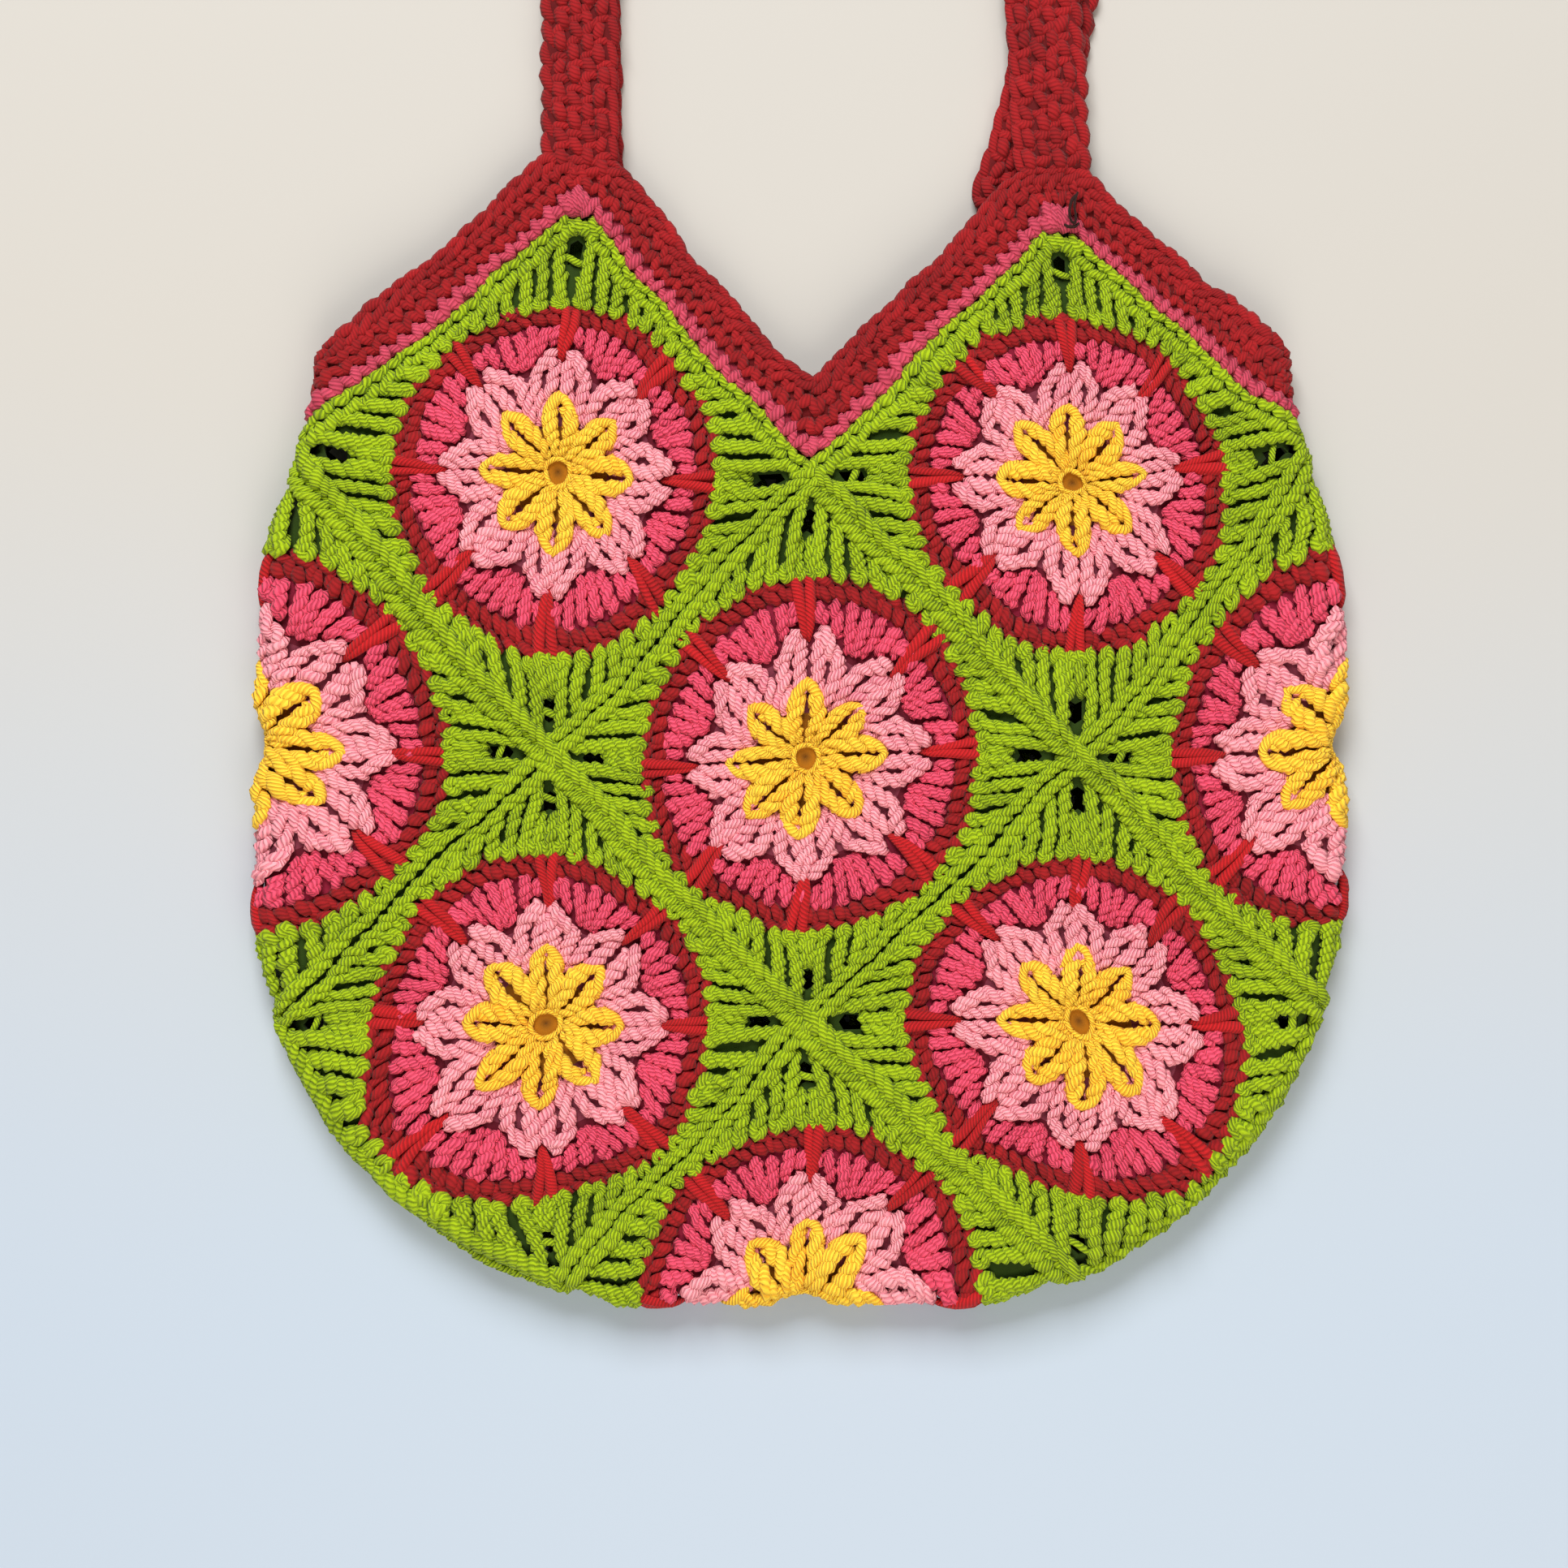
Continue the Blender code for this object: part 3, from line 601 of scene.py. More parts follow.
def on_handle(flat, route):
    """Points on a handle for points along it, across it and over its middle, in metres."""
    steps = np.linalg.norm(np.diff(route, axis=0), axis=1)
    run = np.concatenate([[0], np.cumsum(steps)])
    way = np.gradient(route, run, axis=0)
    way[:, 2] = 0
    way /= np.linalg.norm(way, axis=1)[:, None]
    at = np.clip(flat[:, 0], 0, run[-1])
    foot = np.stack([np.interp(at, run, route[:, axis]) for axis in range(3)], 1)
    turn = np.stack([np.interp(at, run, way[:, axis]) for axis in range(3)], 1)
    side = np.stack([-turn[:, 1], turn[:, 0], np.zeros(len(at))], 1)
    place = foot + turn * (flat[:, 0] - at)[:, None] + side * flat[:, 1][:, None]
    place[:, 2] = np.maximum(place[:, 2] + flat[:, 2], LYING_CLEARANCE)
    return place


def strap_strands(length, seed, beyond):
    """Single crochet along a handle: posts on both faces, bars on the front, an edge on each side.

    beyond is how many stitches run on past each end.
    """
    rng = np.random.default_rng(seed)
    periods = int(length / STRAP_PITCH)
    pitch = length / periods
    strands = []
    for face in (1, -1):
        for column, across in enumerate(STRAP_COLUMNS):
            for index in range(-beyond - column % 2, periods + beyond):
                at = (index + 0.5 * (column % 2) + rng.normal(0, 0.05)) * pitch
                side = across + rng.normal(0, 0.4)
                lean = rng.normal(0.7, 0.7)
                rise = rng.normal(0, 0.25)
                post = [(at - 2.9, side - lean, 0.9 * face, 1.7),
                        (at - 0.9, side - 0.4 * lean, (1.9 + rise) * face, 2.4),
                        (at + 1.3, side + 0.5 * lean, (1.9 + rise) * face, 2.4),
                        (at + 3.0, side + lean, 0.9 * face, 1.7)]
                strands.append(("edge_red", smooth(post, 5)))
                if face < 0:
                    continue
                slant = rng.normal(0.5, 0.6)
                low = at + 0.5 * pitch
                bar = [(low - 1.4 - slant, side + 2.6, 0.9, 1.5),
                       (low, side + 0.9, 1.5 + rise, 2.0),
                       (low + 0.4 + slant, side - 1.4, 1.4 + rise, 2.0),
                       (low - 0.8 + slant, side - 3.0, 0.8, 1.5)]
                strands.append(("edge_red", smooth(bar, 5)))
    for index in range(-beyond, periods + beyond):
        at = (index + 0.5) * pitch
        for over in (0.9, -0.9):
            chain = [(at - 5.0, 8.6, over, 1.4), (at - 1.9, 10.4, over * 1.5, 2.0),
                     (at + 1.6, 11.4, over, 2.0), (at + 4.8, 10.6, over * 0.2, 1.3)]
            rope = [(at - 5.2, -11.5, over * 0.2, 1.4), (at - 1.5, -11.6, over, 1.9),
                    (at + 2.4, -10.9, over, 2.0), (at + 5.2, -9.8, over * 0.4, 1.4)]
            strands += [("edge_red", smooth(chain, 6)), ("edge_red", smooth(rope, 6))]
    return strands


def wobble(points):
    """Small broad unevenness of handwork in the flat pattern, the same for every piece."""
    rng = np.random.default_rng(LIE_SEED)
    moved = points.copy()
    for axis in (0, 1, 2):
        for half_wave in (11.0, 19.0, 37.0, 83.0):
            heading = rng.uniform(0, 2 * math.pi)
            phase = rng.uniform(0, 2 * math.pi)
            run = points[:, 0] * math.cos(heading) + points[:, 1] * math.sin(heading)
            size = UNEVEN_LIE * (0.5 if axis == 2 else 1.0) * (half_wave / 37.0) ** 0.5
            moved[:, axis] += size * np.sin(run / half_wave * math.pi + phase)
    return moved


def sweep(strands, jitter, seed):
    """Tubes of all strands: points, loops, face sizes, ply coordinates, tones, yarn numbers."""
    rng = np.random.default_rng(seed)
    points, loops, sizes, plies, tones, yarns = [], [], [], [], [], []
    start = 0
    for yarn, strand in strands:
        sides = YELLOW_SIDES if yarn == "yellow" else YARN_SIDES
        ring = np.arange(sides) * 2 * math.pi / sides
        count = len(strand)
        path = strand[:, :3] + rng.normal(0, jitter, 3) + rng.normal(0, jitter * 0.4, (count, 3))
        radius = strand[:, 3] * (1 + rng.normal(0, 0.06))
        way = np.gradient(path, axis=0)
        way /= np.maximum(np.linalg.norm(way, axis=1), 1e-6)[:, None]
        side = np.stack([-way[:, 1], way[:, 0], np.zeros(count)], 1)
        side /= np.maximum(np.linalg.norm(side, axis=1), 1e-6)[:, None]
        over = np.cross(way, side)
        swing = (side[:, None] * np.cos(ring)[None, :, None]
                 + over[:, None] * np.sin(ring)[None, :, None])
        points.append((path[:, None] + radius[:, None, None] * swing).reshape(-1, 3))
        run = np.concatenate([[0], np.cumsum(np.linalg.norm(np.diff(path, axis=0), axis=1))])
        run += rng.uniform(0, 10)
        base = start + np.arange(count - 1)[:, None] * sides
        here = np.arange(sides)[None, :]
        after = (here + 1) % sides
        body = np.stack([base + here, base + after, base + sides + after, base + sides + here], 2)
        last = start + (count - 1) * sides
        loops += [body.ravel(), start + np.arange(sides)[::-1], last + np.arange(sides)]
        sizes += [np.full((count - 1) * sides, 4), [sides, sides]]
        share = here / sides + np.zeros((count - 1, 1))
        low = run[:-1, None] + np.zeros((1, sides))
        high = run[1:, None] + np.zeros((1, sides))
        ahead = share + 1 / sides
        ply = np.stack([share, low, ahead, low, ahead, high, share, high], 2)
        caps = [np.tile([0.1, run[end]], (sides, 1)) for end in (0, -1)]
        plies += [ply.reshape(-1, 2), *caps]
        tones.append(np.full(count * sides, rng.normal(0, 1)))
        yarns.append(np.full((count - 1) * sides + 2, YARNS.index(yarn)))
        start += count * sides
    return (np.vstack(points), np.concatenate(loops), np.concatenate(sizes), np.vstack(plies),
            np.concatenate(tones), np.concatenate(yarns))


def plain_surface(points, quads, yarn_numbers, tone):
    """Surface of a backing sheet, in the same form as the strands; its tone darkens it as painted
    shade.
    """
    quads = np.asarray(quads)
    return (points, quads.ravel(), np.full(len(quads), 4), np.zeros((quads.size, 2)),
            np.full(len(points), tone), np.asarray(yarn_numbers))


def joined(*groups):
    """Several surfaces as one."""
    start, loops = 0, []
    for group in groups:
        loops.append(group[1] + start)
        start += len(group[0])
    rest = [np.concatenate([group[part] for group in groups]) for part in range(2, 6)]
    return (np.vstack([group[0] for group in groups]), np.concatenate(loops), *rest)


def settled(points):
    """World points with the right peak pulled a little down, as the bag lies in the photograph."""
    at = lay_out(np.array([[HALF_DIAGONAL, PEAK, 0.0]]))[0] + SHIFT
    beside = np.clip(np.abs(points[:, 0] - at[0]) / DROP_BESIDE, 0, 1)
    above = points[:, 1] - at[1]
    away = np.clip(np.where(above > 0, above / DROP_ABOVE, -above / DROP_BELOW), 0, 1)
    moved = points.copy()
    moved[:, 1] -= PEAK_DROP * np.cos(beside * math.pi / 2) ** 2 * (1 - ease(away))
    return moved


def make_mesh(name, points, surface):
    """Mesh object in its place, with the ply map and a tone for each strand."""
    loops, sizes, plies, tones, yarns = surface[1:]
    mesh = bpy.data.meshes.new(name)
    mesh.vertices.add(len(points))
    mesh.vertices.foreach_set("co", settled(points).ravel())
    mesh.loops.add(len(loops))
    mesh.loops.foreach_set("vertex_index", loops.astype(np.int32))
    mesh.polygons.add(len(sizes))
    starts = np.concatenate([[0], np.cumsum(sizes)[:-1]])
    mesh.polygons.foreach_set("loop_start", starts.astype(np.int32))
    mesh.polygons.foreach_set("material_index", yarns.astype(np.int32))
    mesh.update(calc_edges=True)
    layer = mesh.uv_layers.new(name="ply")
    layer.uv.foreach_set("vector", plies.astype(np.float32).ravel())
    tone = mesh.attributes.new("tone", "FLOAT", "POINT")
    tone.data.foreach_set("value", tones.astype(np.float32))
    mesh.polygons.foreach_set("use_smooth", np.ones(len(sizes), dtype=bool))
    for material in COTTON:
        mesh.materials.append(material)
    piece = bpy.data.objects.new(name, mesh)
    bpy.context.scene.collection.objects.link(piece)
    mesh.validate()
    return piece


def linear(text):
    """Linear colour from an sRGB hex value."""
    values = [int(text[i:i + 2], 16) / 255 for i in (1, 3, 5)]
    return [c / 12.92 if c <= 0.04045 else ((c + 0.055) / 1.055) ** 2.4 for c in values] + [1.0]


def add_node(tree, kind, settings=None, links=None):
    """Node with its settings, and links from other nodes' outputs to its inputs."""
    node = tree.nodes.new(kind)
    for name, value in (settings or {}).items():
        if isinstance(name, int):
            node.inputs[name].default_value = value
        elif name in node.inputs:
            node.inputs[name].default_value = value
        else:
            setattr(node, name, value)
    for name, source in (links or {}).items():
        tree.links.new(source, node.inputs[name])
    return node


# Plied cotton. A strand has four plies, with a groove between them every 1.2 mm along it. Its
# fibres are about half a millimetre apart, drawn coarser than real ones so that they show, and the
# dye varies over about 17 mm. Shares run from the shade, 0, to the lit colour, 1: the grooves get
# painted shade and the plies painted light.
PLIES = 4.0
GROOVE_PITCH_MM = 1.2
GROOVE_WIDTH = 0.36
FIBRE_SCALE = 2200.0
DYE_SCALE = 60.0
LIT_SHARE = 0.62
TONE_STEP = 0.09
DYE_SWING = 0.5
# Painted light on the plies and painted shade in the grooves between them, as shares
PLY_PAINTED_LIGHT = 0.54
GROOVE_PAINTED_SHADE = -0.16
FIBRE_HEIGHT = 0.35
BUMP_STRENGTH = 0.9
BUMP_DISTANCE = 0.0006
# Tones this low are the backing's, seen between the stitches, and go to a dark of the shade:
# painted shade in the gaps between the stitches
DEEPEST_PAINTED_SHADE_TONE = -8.0
LIGHTEST_PAINTED_SHADE_TONE = -4.0
DEEP_SHADE = 0.17


def plied_cotton(name, lit, shade, depth=1.0):
    """Plied, matt cotton: slanting grooves between plies in painted shade, plies in painted light,
    a soft edge.
    """
    material = bpy.data.materials.new(name)
    material.use_nodes = True
    tree = material.node_tree
    shader = tree.nodes["Principled BSDF"]
    ply = add_node(tree, "ShaderNodeUVMap", {"uv_map": "ply"})
    split = add_node(tree, "ShaderNodeSeparateXYZ", links={0: ply.outputs[0]})
    around = add_node(tree, "ShaderNodeMath", {"operation": "MULTIPLY", 1: PLIES},
                      {0: split.outputs[0]})
    along = add_node(tree, "ShaderNodeMath", {"operation": "DIVIDE", 1: GROOVE_PITCH_MM},
                     {0: split.outputs[1]})
    both = add_node(tree, "ShaderNodeMath", {"operation": "ADD"},
                    {0: around.outputs[0], 1: along.outputs[0]})
    wave = add_node(tree, "ShaderNodeMath", {"operation": "PINGPONG", 1: 0.5},
                    {0: both.outputs[0]})
    twist = add_node(tree, "ShaderNodeMapRange",
                     {"interpolation_type": "SMOOTHSTEP", 1: 0.0, 2: GROOVE_WIDTH, 3: 0.0, 4: 1.0},
                     {0: wave.outputs[0]})
    place = add_node(tree, "ShaderNodeTexCoord")
    fuzz = add_node(tree, "ShaderNodeTexNoise", {"Scale": FIBRE_SCALE, "Detail": 2.0},
                    {"Vector": place.outputs["Object"]})
    dye = add_node(tree, "ShaderNodeTexNoise", {"Scale": DYE_SCALE, "Detail": 2.0},
                   {"Vector": place.outputs["Object"]})
    tone = add_node(tree, "ShaderNodeAttribute", {"attribute_name": "tone"})
    lift = add_node(tree, "ShaderNodeMath",
                    {"operation": "MULTIPLY_ADD", 1: TONE_STEP, 2: LIT_SHARE},
                    {0: tone.outputs["Fac"]})
    dyed = add_node(tree, "ShaderNodeMath",
                    {"operation": "MULTIPLY_ADD", 1: DYE_SWING, 2: -DYE_SWING / 2},
                    {0: dye.outputs[0]})
    level = add_node(tree, "ShaderNodeMath", {"operation": "ADD"},
                     {0: lift.outputs[0], 1: dyed.outputs[0]})
    # Painted light on the plies and painted shade in their grooves
    ply_painted_light_and_shade = add_node(tree, "ShaderNodeMath",
                      {"operation": "MULTIPLY_ADD", 1: PLY_PAINTED_LIGHT * depth, 2: GROOVE_PAINTED_SHADE * depth},
                      {0: twist.outputs[0]})
    share = add_node(tree, "ShaderNodeMath", {"operation": "ADD", "use_clamp": True},
                     {0: level.outputs[0], 1: ply_painted_light_and_shade.outputs[0]})
    mix = add_node(tree, "ShaderNodeMix", {"data_type": "RGBA"}, {0: share.outputs[0]})
    mix.inputs[6].default_value = linear(shade)
    mix.inputs[7].default_value = linear(lit)
    # Painted shade: the backing's low tones go to a dark of the shade colour
    deep = add_node(tree, "ShaderNodeMapRange",
                    {1: DEEPEST_PAINTED_SHADE_TONE, 2: LIGHTEST_PAINTED_SHADE_TONE, 3: 1.0, 4: 0.0},
                    {0: tone.outputs["Fac"]})
    under = add_node(tree, "ShaderNodeMix", {"data_type": "RGBA"},
                     {0: deep.outputs[0], 6: mix.outputs[2]})
    under.inputs[7].default_value = [c * DEEP_SHADE for c in linear(shade)[:3]] + [1.0]
    tree.links.new(under.outputs[2], shader.inputs["Base Color"])
    fibres = add_node(tree, "ShaderNodeMath", {"operation": "MULTIPLY_ADD", 1: FIBRE_HEIGHT},
                      {0: fuzz.outputs[0], 2: twist.outputs[0]})
    bump = add_node(tree, "ShaderNodeBump",
                    {"Strength": BUMP_STRENGTH * depth, "Distance": BUMP_DISTANCE},
                    {"Height": fibres.outputs[0]})
    tree.links.new(bump.outputs[0], shader.inputs["Normal"])
    shader.inputs["Roughness"].default_value = 0.88
    shader.inputs["IOR"].default_value = 1.5
    shader.inputs["Specular IOR Level"].default_value = 0.25
    shader.inputs["Sheen Weight"].default_value = 0.05
    shader.inputs["Sheen Roughness"].default_value = 0.5
    return material


def place_on_bag(points):
    """World points for pattern points in millimetres, with the unevenness of handwork."""
    return lay_out(wobble(points) / 1000) + SHIFT


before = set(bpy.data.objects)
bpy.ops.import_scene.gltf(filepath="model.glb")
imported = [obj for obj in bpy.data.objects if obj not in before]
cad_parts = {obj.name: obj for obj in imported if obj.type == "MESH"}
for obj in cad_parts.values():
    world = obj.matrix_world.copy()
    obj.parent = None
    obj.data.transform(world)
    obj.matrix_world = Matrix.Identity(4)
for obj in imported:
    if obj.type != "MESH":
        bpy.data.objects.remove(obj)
bpy.ops.object.select_all(action="DESELECT")
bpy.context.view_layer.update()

# The world place of the pattern's zero, from the box of the flat square in the middle of the back
middle_low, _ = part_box("square_back_middle")
seam_gap = GAP / math.sqrt(2)
west = lay_out(np.array([[5 * HALF_DIAGONAL - seam_gap, 0.0, 0.0]]))[0]
south = lay_out(np.array([[4 * HALF_DIAGONAL, seam_gap - HALF_DIAGONAL, 0.0]]))[0]
SHIFT = np.array([middle_low[0] - west[0], middle_low[1] - south[1], 0.0])

COTTON = [
    plied_cotton("plied_cotton_yellow", "#FFD640", "#FA9C0C"),
    plied_cotton("plied_cotton_light_pink", "#FFA8B4", "#D45C7A"),
    plied_cotton("plied_cotton_deep_pink", "#F05272", "#9C1A3C"),
    plied_cotton("plied_cotton_flower_red", "#C21A20", "#6A0A10", 0.8),
    plied_cotton("plied_cotton_green", "#A4C210", "#304A02"),
    plied_cotton("plied_cotton_edge_pink", "#CE4A64", "#841C30", 0.8),
    plied_cotton("plied_cotton_edge_red", "#A2171D", "#48080C", 0.55),
    plied_cotton("plied_cotton_brown", "#341612", "#100606", 0.5),
]


# Backing of a square: round rings under the flower, then rings that turn square, in millimetres
BACKING_SPOKES = 128
BACKING_RADII = (0.01, 3.9, 16.8, 33.0, 49.5, 57.0)
BACKING_SQUARE_SHARES = (0.42, 0.64, 1.0)
BACKING_YARNS = ("yellow", "yellow", "light_pink", "deep_pink", "red", "green", "green", "green")
# Tones of the backing's rings from the centre out: painted shade, darkest in the centre hole
BACKING_PAINTED_SHADE_TONES = (-8.0, -6.5, -8.0, -7.6, -5.5, -5.5, -6.0, -6.0, -6.0)
BACKING_TOP = 0.3
CENTRE_TOP = -1.1
BACKING_LOW = -1.7
FREE_OVERHANG = 3.2
SLOT_BAND = 6
SLOT_PINCH = 0.02


def backing(centre, free_sides):
    """Closed sheet under the stitches of a square, with its four corner slots, darkened as painted
    shade.
    """
    spokes, quarter = BACKING_SPOKES, BACKING_SPOKES // 4
    rings = [circle(radius, spokes)[:-1] for radius in BACKING_RADII]
    angles = np.arange(spokes) * 2 * math.pi / spokes
    angles[1::quarter] -= SLOT_PINCH
    angles[quarter - 1::quarter] += SLOT_PINCH
    for share in BACKING_SQUARE_SHARES:
        ring = []
        for angle in angles:
            across, up = math.cos(angle), math.sin(angle)
            side = int((math.degrees(angle) + 0.1) % 360 // QUARTER)
            edge = SIDE_MM / 2 + (FREE_OVERHANG if side in free_sides else 0.0)
            run = edge * math.sqrt(2) / (abs(across) + abs(up))
            run = BACKING_RADII[-1] + (run - BACKING_RADII[-1]) * share
            ring.append((run * across, run * up))
        rings.append(np.array(ring))
    bands = len(rings) - 1
    top = np.vstack([np.column_stack([ring, np.full(spokes, BACKING_TOP)]) for ring in rings])
    top[:2 * spokes, 2] = CENTRE_TOP
    low = top.copy()
    low[:, 2] = BACKING_LOW
    points = np.vstack([top, low]) + [centre[0], centre[1], 0.0]
    total = len(top)
    green = YARNS.index("green")
    quads, numbers = [], []
    for band in range(bands):
        yarn = YARNS.index(BACKING_YARNS[band])
        for spoke in range(spokes):
            after = (spoke + 1) % spokes
            a, b = band * spokes + spoke, (band + 1) * spokes + spoke
            c, d = (band + 1) * spokes + after, band * spokes + after
            if band == SLOT_BAND and spoke % quarter in (0, quarter - 1):
                last_of_side = spoke % quarter == quarter - 1
                e, f = (a, b) if last_of_side else (c, d)
                quads += [[e, f, total + f, total + e], [d, a, total + a, total + d],
                          [b, c, total + c, total + b]]
                numbers += [green, green, green]
                continue
            quads += [[a, b, c, d], [total + d, total + c, total + b, total + a]]
            numbers += [yarn, yarn]
    last = bands * spokes
    for spoke in range(spokes):
        after = (spoke + 1) % spokes
        quads.append([last + after, last + spoke, total + last + spoke, total + last + after])
        numbers.append(green)
        quads.append([spoke, after, total + after, total + spoke])
        numbers.append(YARNS.index("yellow"))
    return plain_surface(points, quads, numbers, np.tile(np.repeat(BACKING_PAINTED_SHADE_TONES, spokes), 2))


for number, (node, right, up, at_mouth) in enumerate(SQUARES):
    free_sides = (0, 1) if at_mouth else ()
    centre = np.array([right, up]) * HALF_DIAGONAL_MM
    rng = np.random.default_rng(200 + number)
    strands = flower(rng) + green_posts(free_sides, rng)
    for side in free_sides:
        strands += free_rows(side)
    for _, strand in strands:
        strand[:, :2] += centre
    stitches = sweep(strands, SQUARE_JITTER, seed=100 + number)
    surface = joined(stitches, backing(centre, free_sides))
    piece = make_mesh(node + "_stitches", place_on_bag(surface[0]), surface)
    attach(piece, "root")
    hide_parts(node)

for name, middles, seed in (("seams_front", FRONT_SEAMS, 31), ("seams_back", BACK_SEAMS, 32)):
    rng = np.random.default_rng(seed)
    strands = [strand for middle in middles for strand in seam(middle, rng)]
    surface = sweep(strands, SEAM_JITTER, seed)
    piece = make_mesh(name, place_on_bag(surface[0]), surface)
    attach(piece, "root")


def band_backing(near, far, yarn):
    """Closed band of yarn under the stitches of the edging, darkened as painted shade."""
    steps = 400
    inner, outer = mouth_line(near, steps), mouth_line(far, steps)
    corners = ((inner, 1.6), (outer, 1.3), (outer, -1.7), (inner, -1.7))
    points = np.vstack([np.column_stack([line[:-1], np.full(steps, height)])
                        for line, height in corners])
    quads = []
    for step in range(steps):
        after = (step + 1) % steps
        for side in range(len(corners)):
            here, beside = side * steps, (side + 1) % len(corners) * steps
            quads.append([here + step, here + after, beside + after, beside + step])
    # Tone -3.5 darkens the band towards the shade: painted shade between the stitches
    return plain_surface(points, quads, np.full(len(quads), YARNS.index(yarn)), -3.5)


RED_BAND_END = PINK_WIDTH + RED_WIDTH - 0.001

strands = edging()
for node, yarn, near, far, seed in (("edging_pink", "edge_pink", 0.0, PINK_WIDTH, 41),
                                    ("edging_red", "edge_red", PINK_WIDTH, RED_BAND_END, 42)):
    own = [strand for strand in strands if strand[0] == yarn]
    surface = joined(sweep(own, EDGING_JITTER, seed), band_backing(near, far, yarn))
    piece = make_mesh(node + "_stitches", place_on_bag(surface[0]), surface)
    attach(piece, "root")
    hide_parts(node)


def strap_core(length, beyond):
    """Closed flat core of a handle, along, across, h in millimetres, darkened as painted shade."""
    steps = 180
    start, span = -STRAP_PITCH * beyond, length + 2 * STRAP_PITCH * beyond
    profile = [(-12.0, 0.0), (-10.6, 1.8), (10.6, 1.8), (12.0, 0.0), (10.6, -1.8), (-10.6, -1.8)]
    sides = len(profile)
    points = np.array([(start + span * step / steps, across, height)
                       for step in range(steps + 1) for across, height in profile])
    quads = []
    for here in range(0, steps * sides, sides):
        for side in range(sides):
            beside = (side + 1) % sides
            quads.append([here + side, here + sides + side, here + sides + beside, here + beside])
    last = steps * sides
    quads += [[0, 1, 2, 3], [0, 3, 4, 5],
              [last + 3, last + 2, last + 1, last], [last + 5, last + 4, last + 3, last]]
    # Tone -4 darkens the core towards the shade: painted shade between the stitches
    return plain_surface(points, quads, np.full(len(quads), YARNS.index("edge_red")), -4.0)


for node, back, seed in (("handle_front", False, 51), ("handle_back", True, 52)):
    route = handle_route(back)
    length = np.linalg.norm(np.diff(route, axis=0), axis=1).sum() * 1000
    beyond = 1 if back else 0
    stitches = sweep(strap_strands(length, seed, beyond), STRAP_JITTER, seed)
    surface = joined(stitches, strap_core(length, beyond))
    piece = make_mesh(node + "_stitches", on_handle(surface[0] / 1000, route) + SHIFT, surface)
    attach(piece, "root")
    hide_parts(node)

# The dark yarn end at the right peak: a loose bow and the knot under it
bow = [(97.6, 187.6, 5.0, 0.5), (95.2, 185.8, 6.6, 0.6), (93.6, 182.6, 7.2, 0.6),
       (93.6, 179.6, 6.6, 0.55), (95.2, 178.8, 6.4, 0.5), (96.0, 181.4, 7.2, 0.5),
       (96.2, 184.6, 6.6, 0.5), (98.2, 188.4, 4.6, 0.4)]
knot = [(90.6, 178.6, 4.2, 0.6), (92.6, 177.4, 6.2, 0.75), (95.0, 177.6, 5.8, 0.7),
        (97.2, 179.0, 4.2, 0.5)]
surface = sweep([("brown", smooth(bow, 24)), ("brown", smooth(knot, 10))], END_JITTER, seed=61)
piece = make_mesh("yarn_end", place_on_bag(surface[0]), surface)
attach(piece, "root")

# Board: painted cool light below the first height and painted warm light above the second, in
# metres, with a speck of about 1.4 mm in one of ten cells of 59 mm
BOARD_PAINTED_COOL_LIGHT = "#B2C1D3"
BOARD_PAINTED_WARM_LIGHT = "#BDBCB9"
BOARD_SPECK = "#7A756C"
PAINTED_COOL_LIGHT_BELOW = -0.29
PAINTED_WARM_LIGHT_ABOVE = 0.08
BROAD_SCALE = 3.0
BROAD_DRIFT = 0.10
SPECK_SCALE = 17.0
SPECK_RADIUS = 0.012
SPECK_SHARE = 0.10


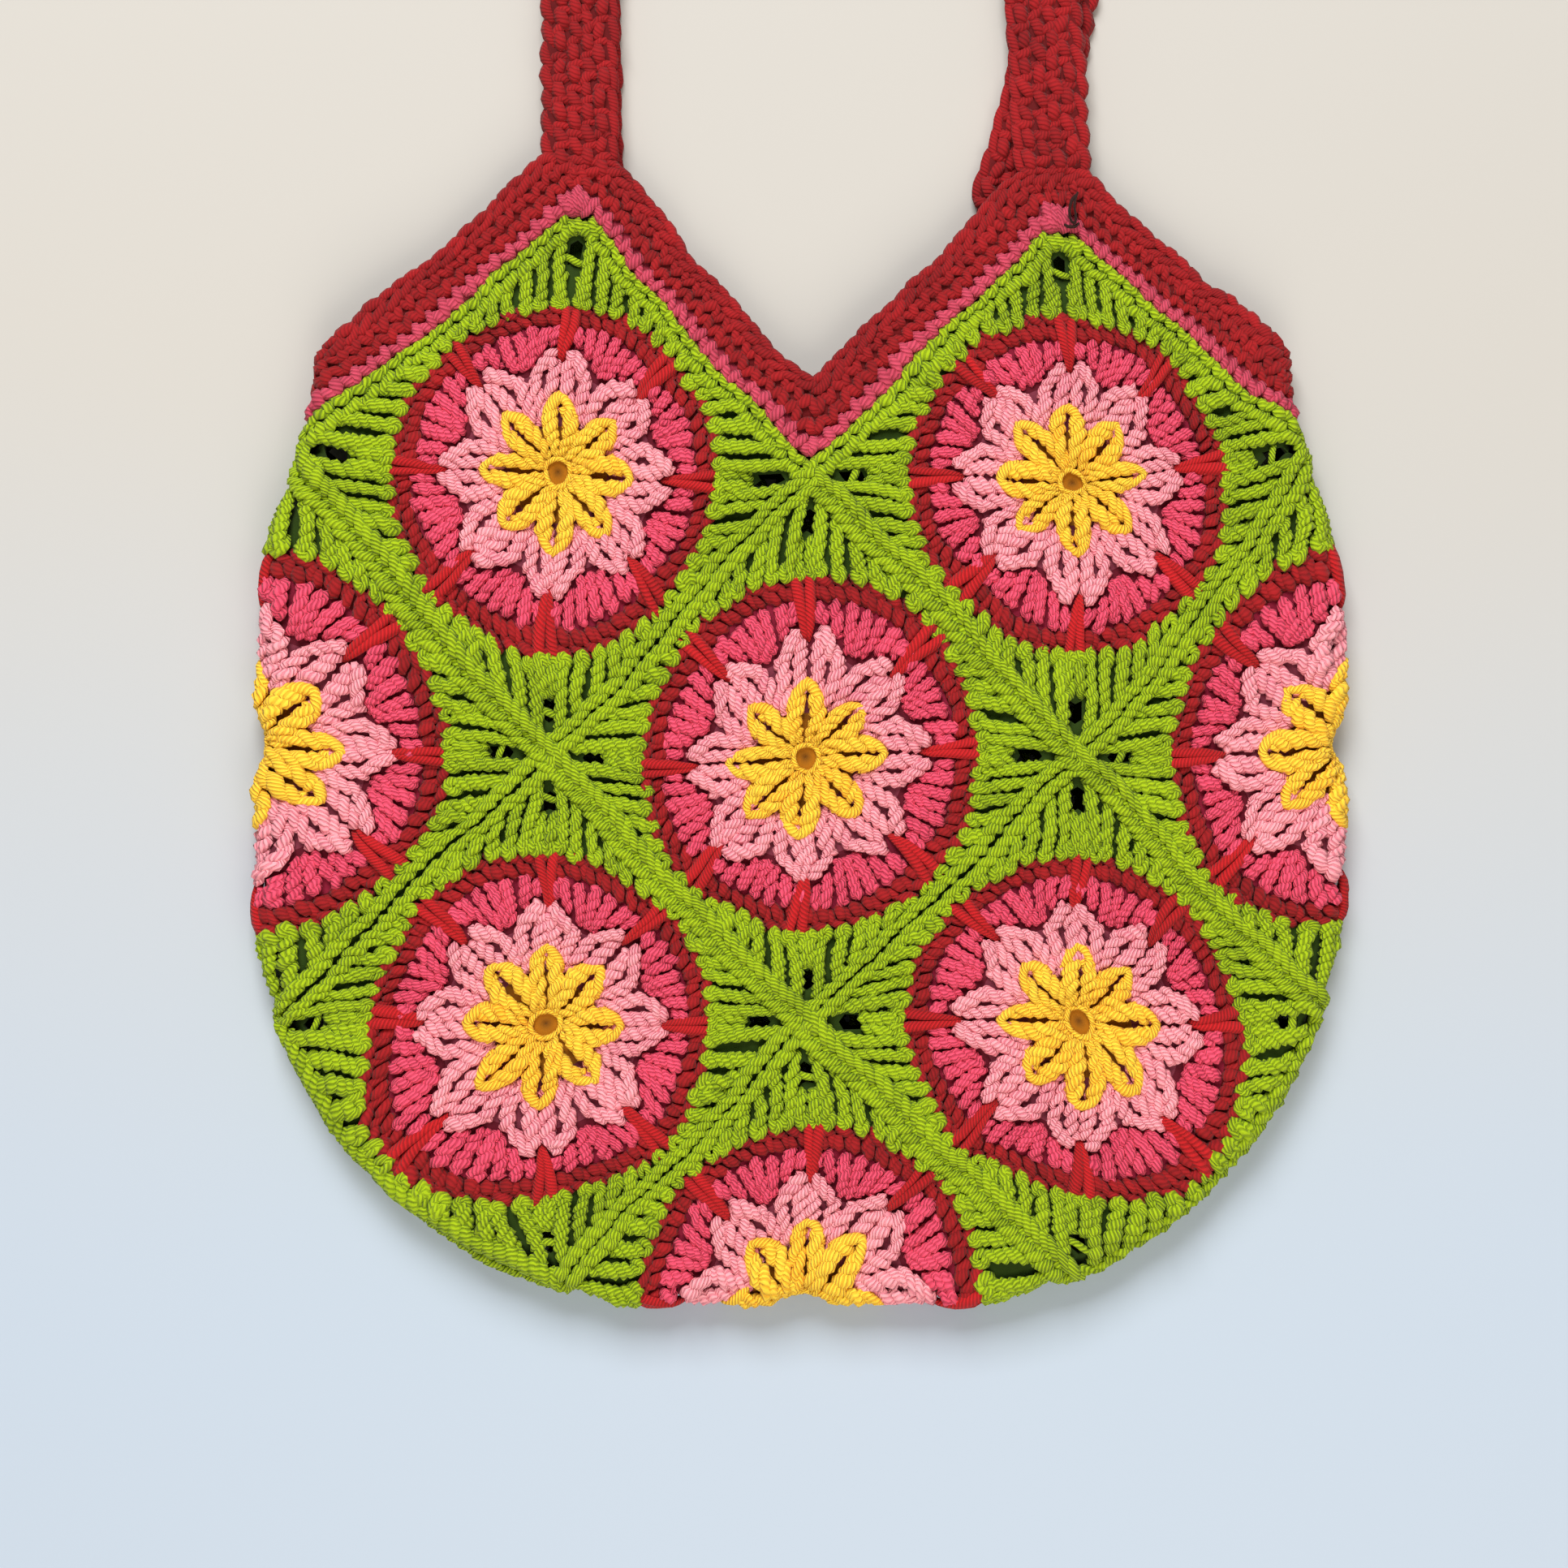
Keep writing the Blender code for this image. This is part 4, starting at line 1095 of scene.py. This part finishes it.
def pale_board():
    """Smooth painted board under the bag with painted light, warm at the top and cool at the
    bottom, and a few specks.
    """
    material = bpy.data.materials.new("painted_board_pale")
    material.use_nodes = True
    tree = material.node_tree
    shader = tree.nodes["Principled BSDF"]
    place = add_node(tree, "ShaderNodeTexCoord")
    broad = add_node(tree, "ShaderNodeTexNoise", {"Scale": BROAD_SCALE, "Detail": 2.0},
                     {"Vector": place.outputs["Object"]})
    split = add_node(tree, "ShaderNodeSeparateXYZ", links={0: place.outputs["Object"]})
    drift = add_node(tree, "ShaderNodeMath", {"operation": "MULTIPLY_ADD", 1: BROAD_DRIFT},
                     {0: broad.outputs[0], 2: split.outputs[1]})
    share = add_node(tree, "ShaderNodeMapRange",
                     {"interpolation_type": "SMOOTHSTEP",
                      1: PAINTED_COOL_LIGHT_BELOW, 2: PAINTED_WARM_LIGHT_ABOVE, 3: 0.0, 4: 1.0}, {0: drift.outputs[0]})
    # Painted light: the board's colour goes from cool at the bottom to warm at the top
    mix = add_node(tree, "ShaderNodeMix", {"data_type": "RGBA"}, {0: share.outputs[0]})
    mix.inputs[6].default_value = linear(BOARD_PAINTED_COOL_LIGHT)
    mix.inputs[7].default_value = linear(BOARD_PAINTED_WARM_LIGHT)
    specks = add_node(tree, "ShaderNodeTexVoronoi", {"Scale": SPECK_SCALE},
                      {"Vector": place.outputs["Object"]})
    near = add_node(tree, "ShaderNodeMath", {"operation": "LESS_THAN", 1: SPECK_RADIUS},
                    {0: specks.outputs["Distance"]})
    pick = add_node(tree, "ShaderNodeSeparateXYZ", links={0: specks.outputs["Color"]})
    few = add_node(tree, "ShaderNodeMath", {"operation": "LESS_THAN", 1: SPECK_SHARE},
                   {0: pick.outputs[0]})
    speck = add_node(tree, "ShaderNodeMath", {"operation": "MULTIPLY"},
                     {0: near.outputs[0], 1: few.outputs[0]})
    dotted = add_node(tree, "ShaderNodeMix", {"data_type": "RGBA"},
                      {0: speck.outputs[0], 6: mix.outputs[2]})
    dotted.inputs[7].default_value = linear(BOARD_SPECK)
    tree.links.new(dotted.outputs[2], shader.inputs["Base Color"])
    shader.inputs["Roughness"].default_value = 0.9
    return material


bpy.ops.mesh.primitive_plane_add(size=6.0, location=(0.0, 0.0, 0.0))
floor = bpy.context.active_object
floor.name = "floor"
floor.data.materials.append(pale_board())


def soft_light(name, place, watts, size, colour):
    """Square light that faces the bag, a little below its middle."""
    bpy.ops.object.light_add(type="AREA", location=place)
    lamp = bpy.context.active_object
    lamp.name = name
    lamp.data.energy = watts
    lamp.data.size = size
    lamp.data.color = colour
    faces = Vector((0.0, -0.1, 0.0)) - lamp.location
    lamp.rotation_euler = faces.to_track_quat("-Z", "Y").to_euler()


soft_light("soft_window", (-0.3, 1.4, 1.7), watts=58.0, size=1.1, colour=(1.0, 0.98, 0.95))
soft_light("soft_fill", (0.2, -1.25, 1.2), watts=21.0, size=1.4, colour=(1.0, 0.91, 0.79))

ROOM_COLOUR = (1.0, 0.93, 0.85, 1.0)
ROOM_STRENGTH = 0.28
world = bpy.context.scene.world or bpy.data.worlds.new("room")
bpy.context.scene.world = world
world.use_nodes = True
world.node_tree.nodes["Background"].inputs[0].default_value = ROOM_COLOUR
world.node_tree.nodes["Background"].inputs[1].default_value = ROOM_STRENGTH
bpy.context.scene.view_settings.view_transform = "Standard"

# Straight above the bag, a little left of the middle square's centre and below it
CAMERA_ASIDE = 0.0084
CAMERA_HEIGHT = 1.020
above = (SHIFT[0] - CAMERA_ASIDE, SHIFT[1] - CAMERA_ASIDE, CAMERA_HEIGHT)
bpy.ops.object.camera_add(location=above, rotation=(0.0, 0.0, 0.0))
camera = bpy.context.active_object
camera.data.sensor_width = 36.0
camera.data.lens = 68.58
bpy.context.scene.camera = camera
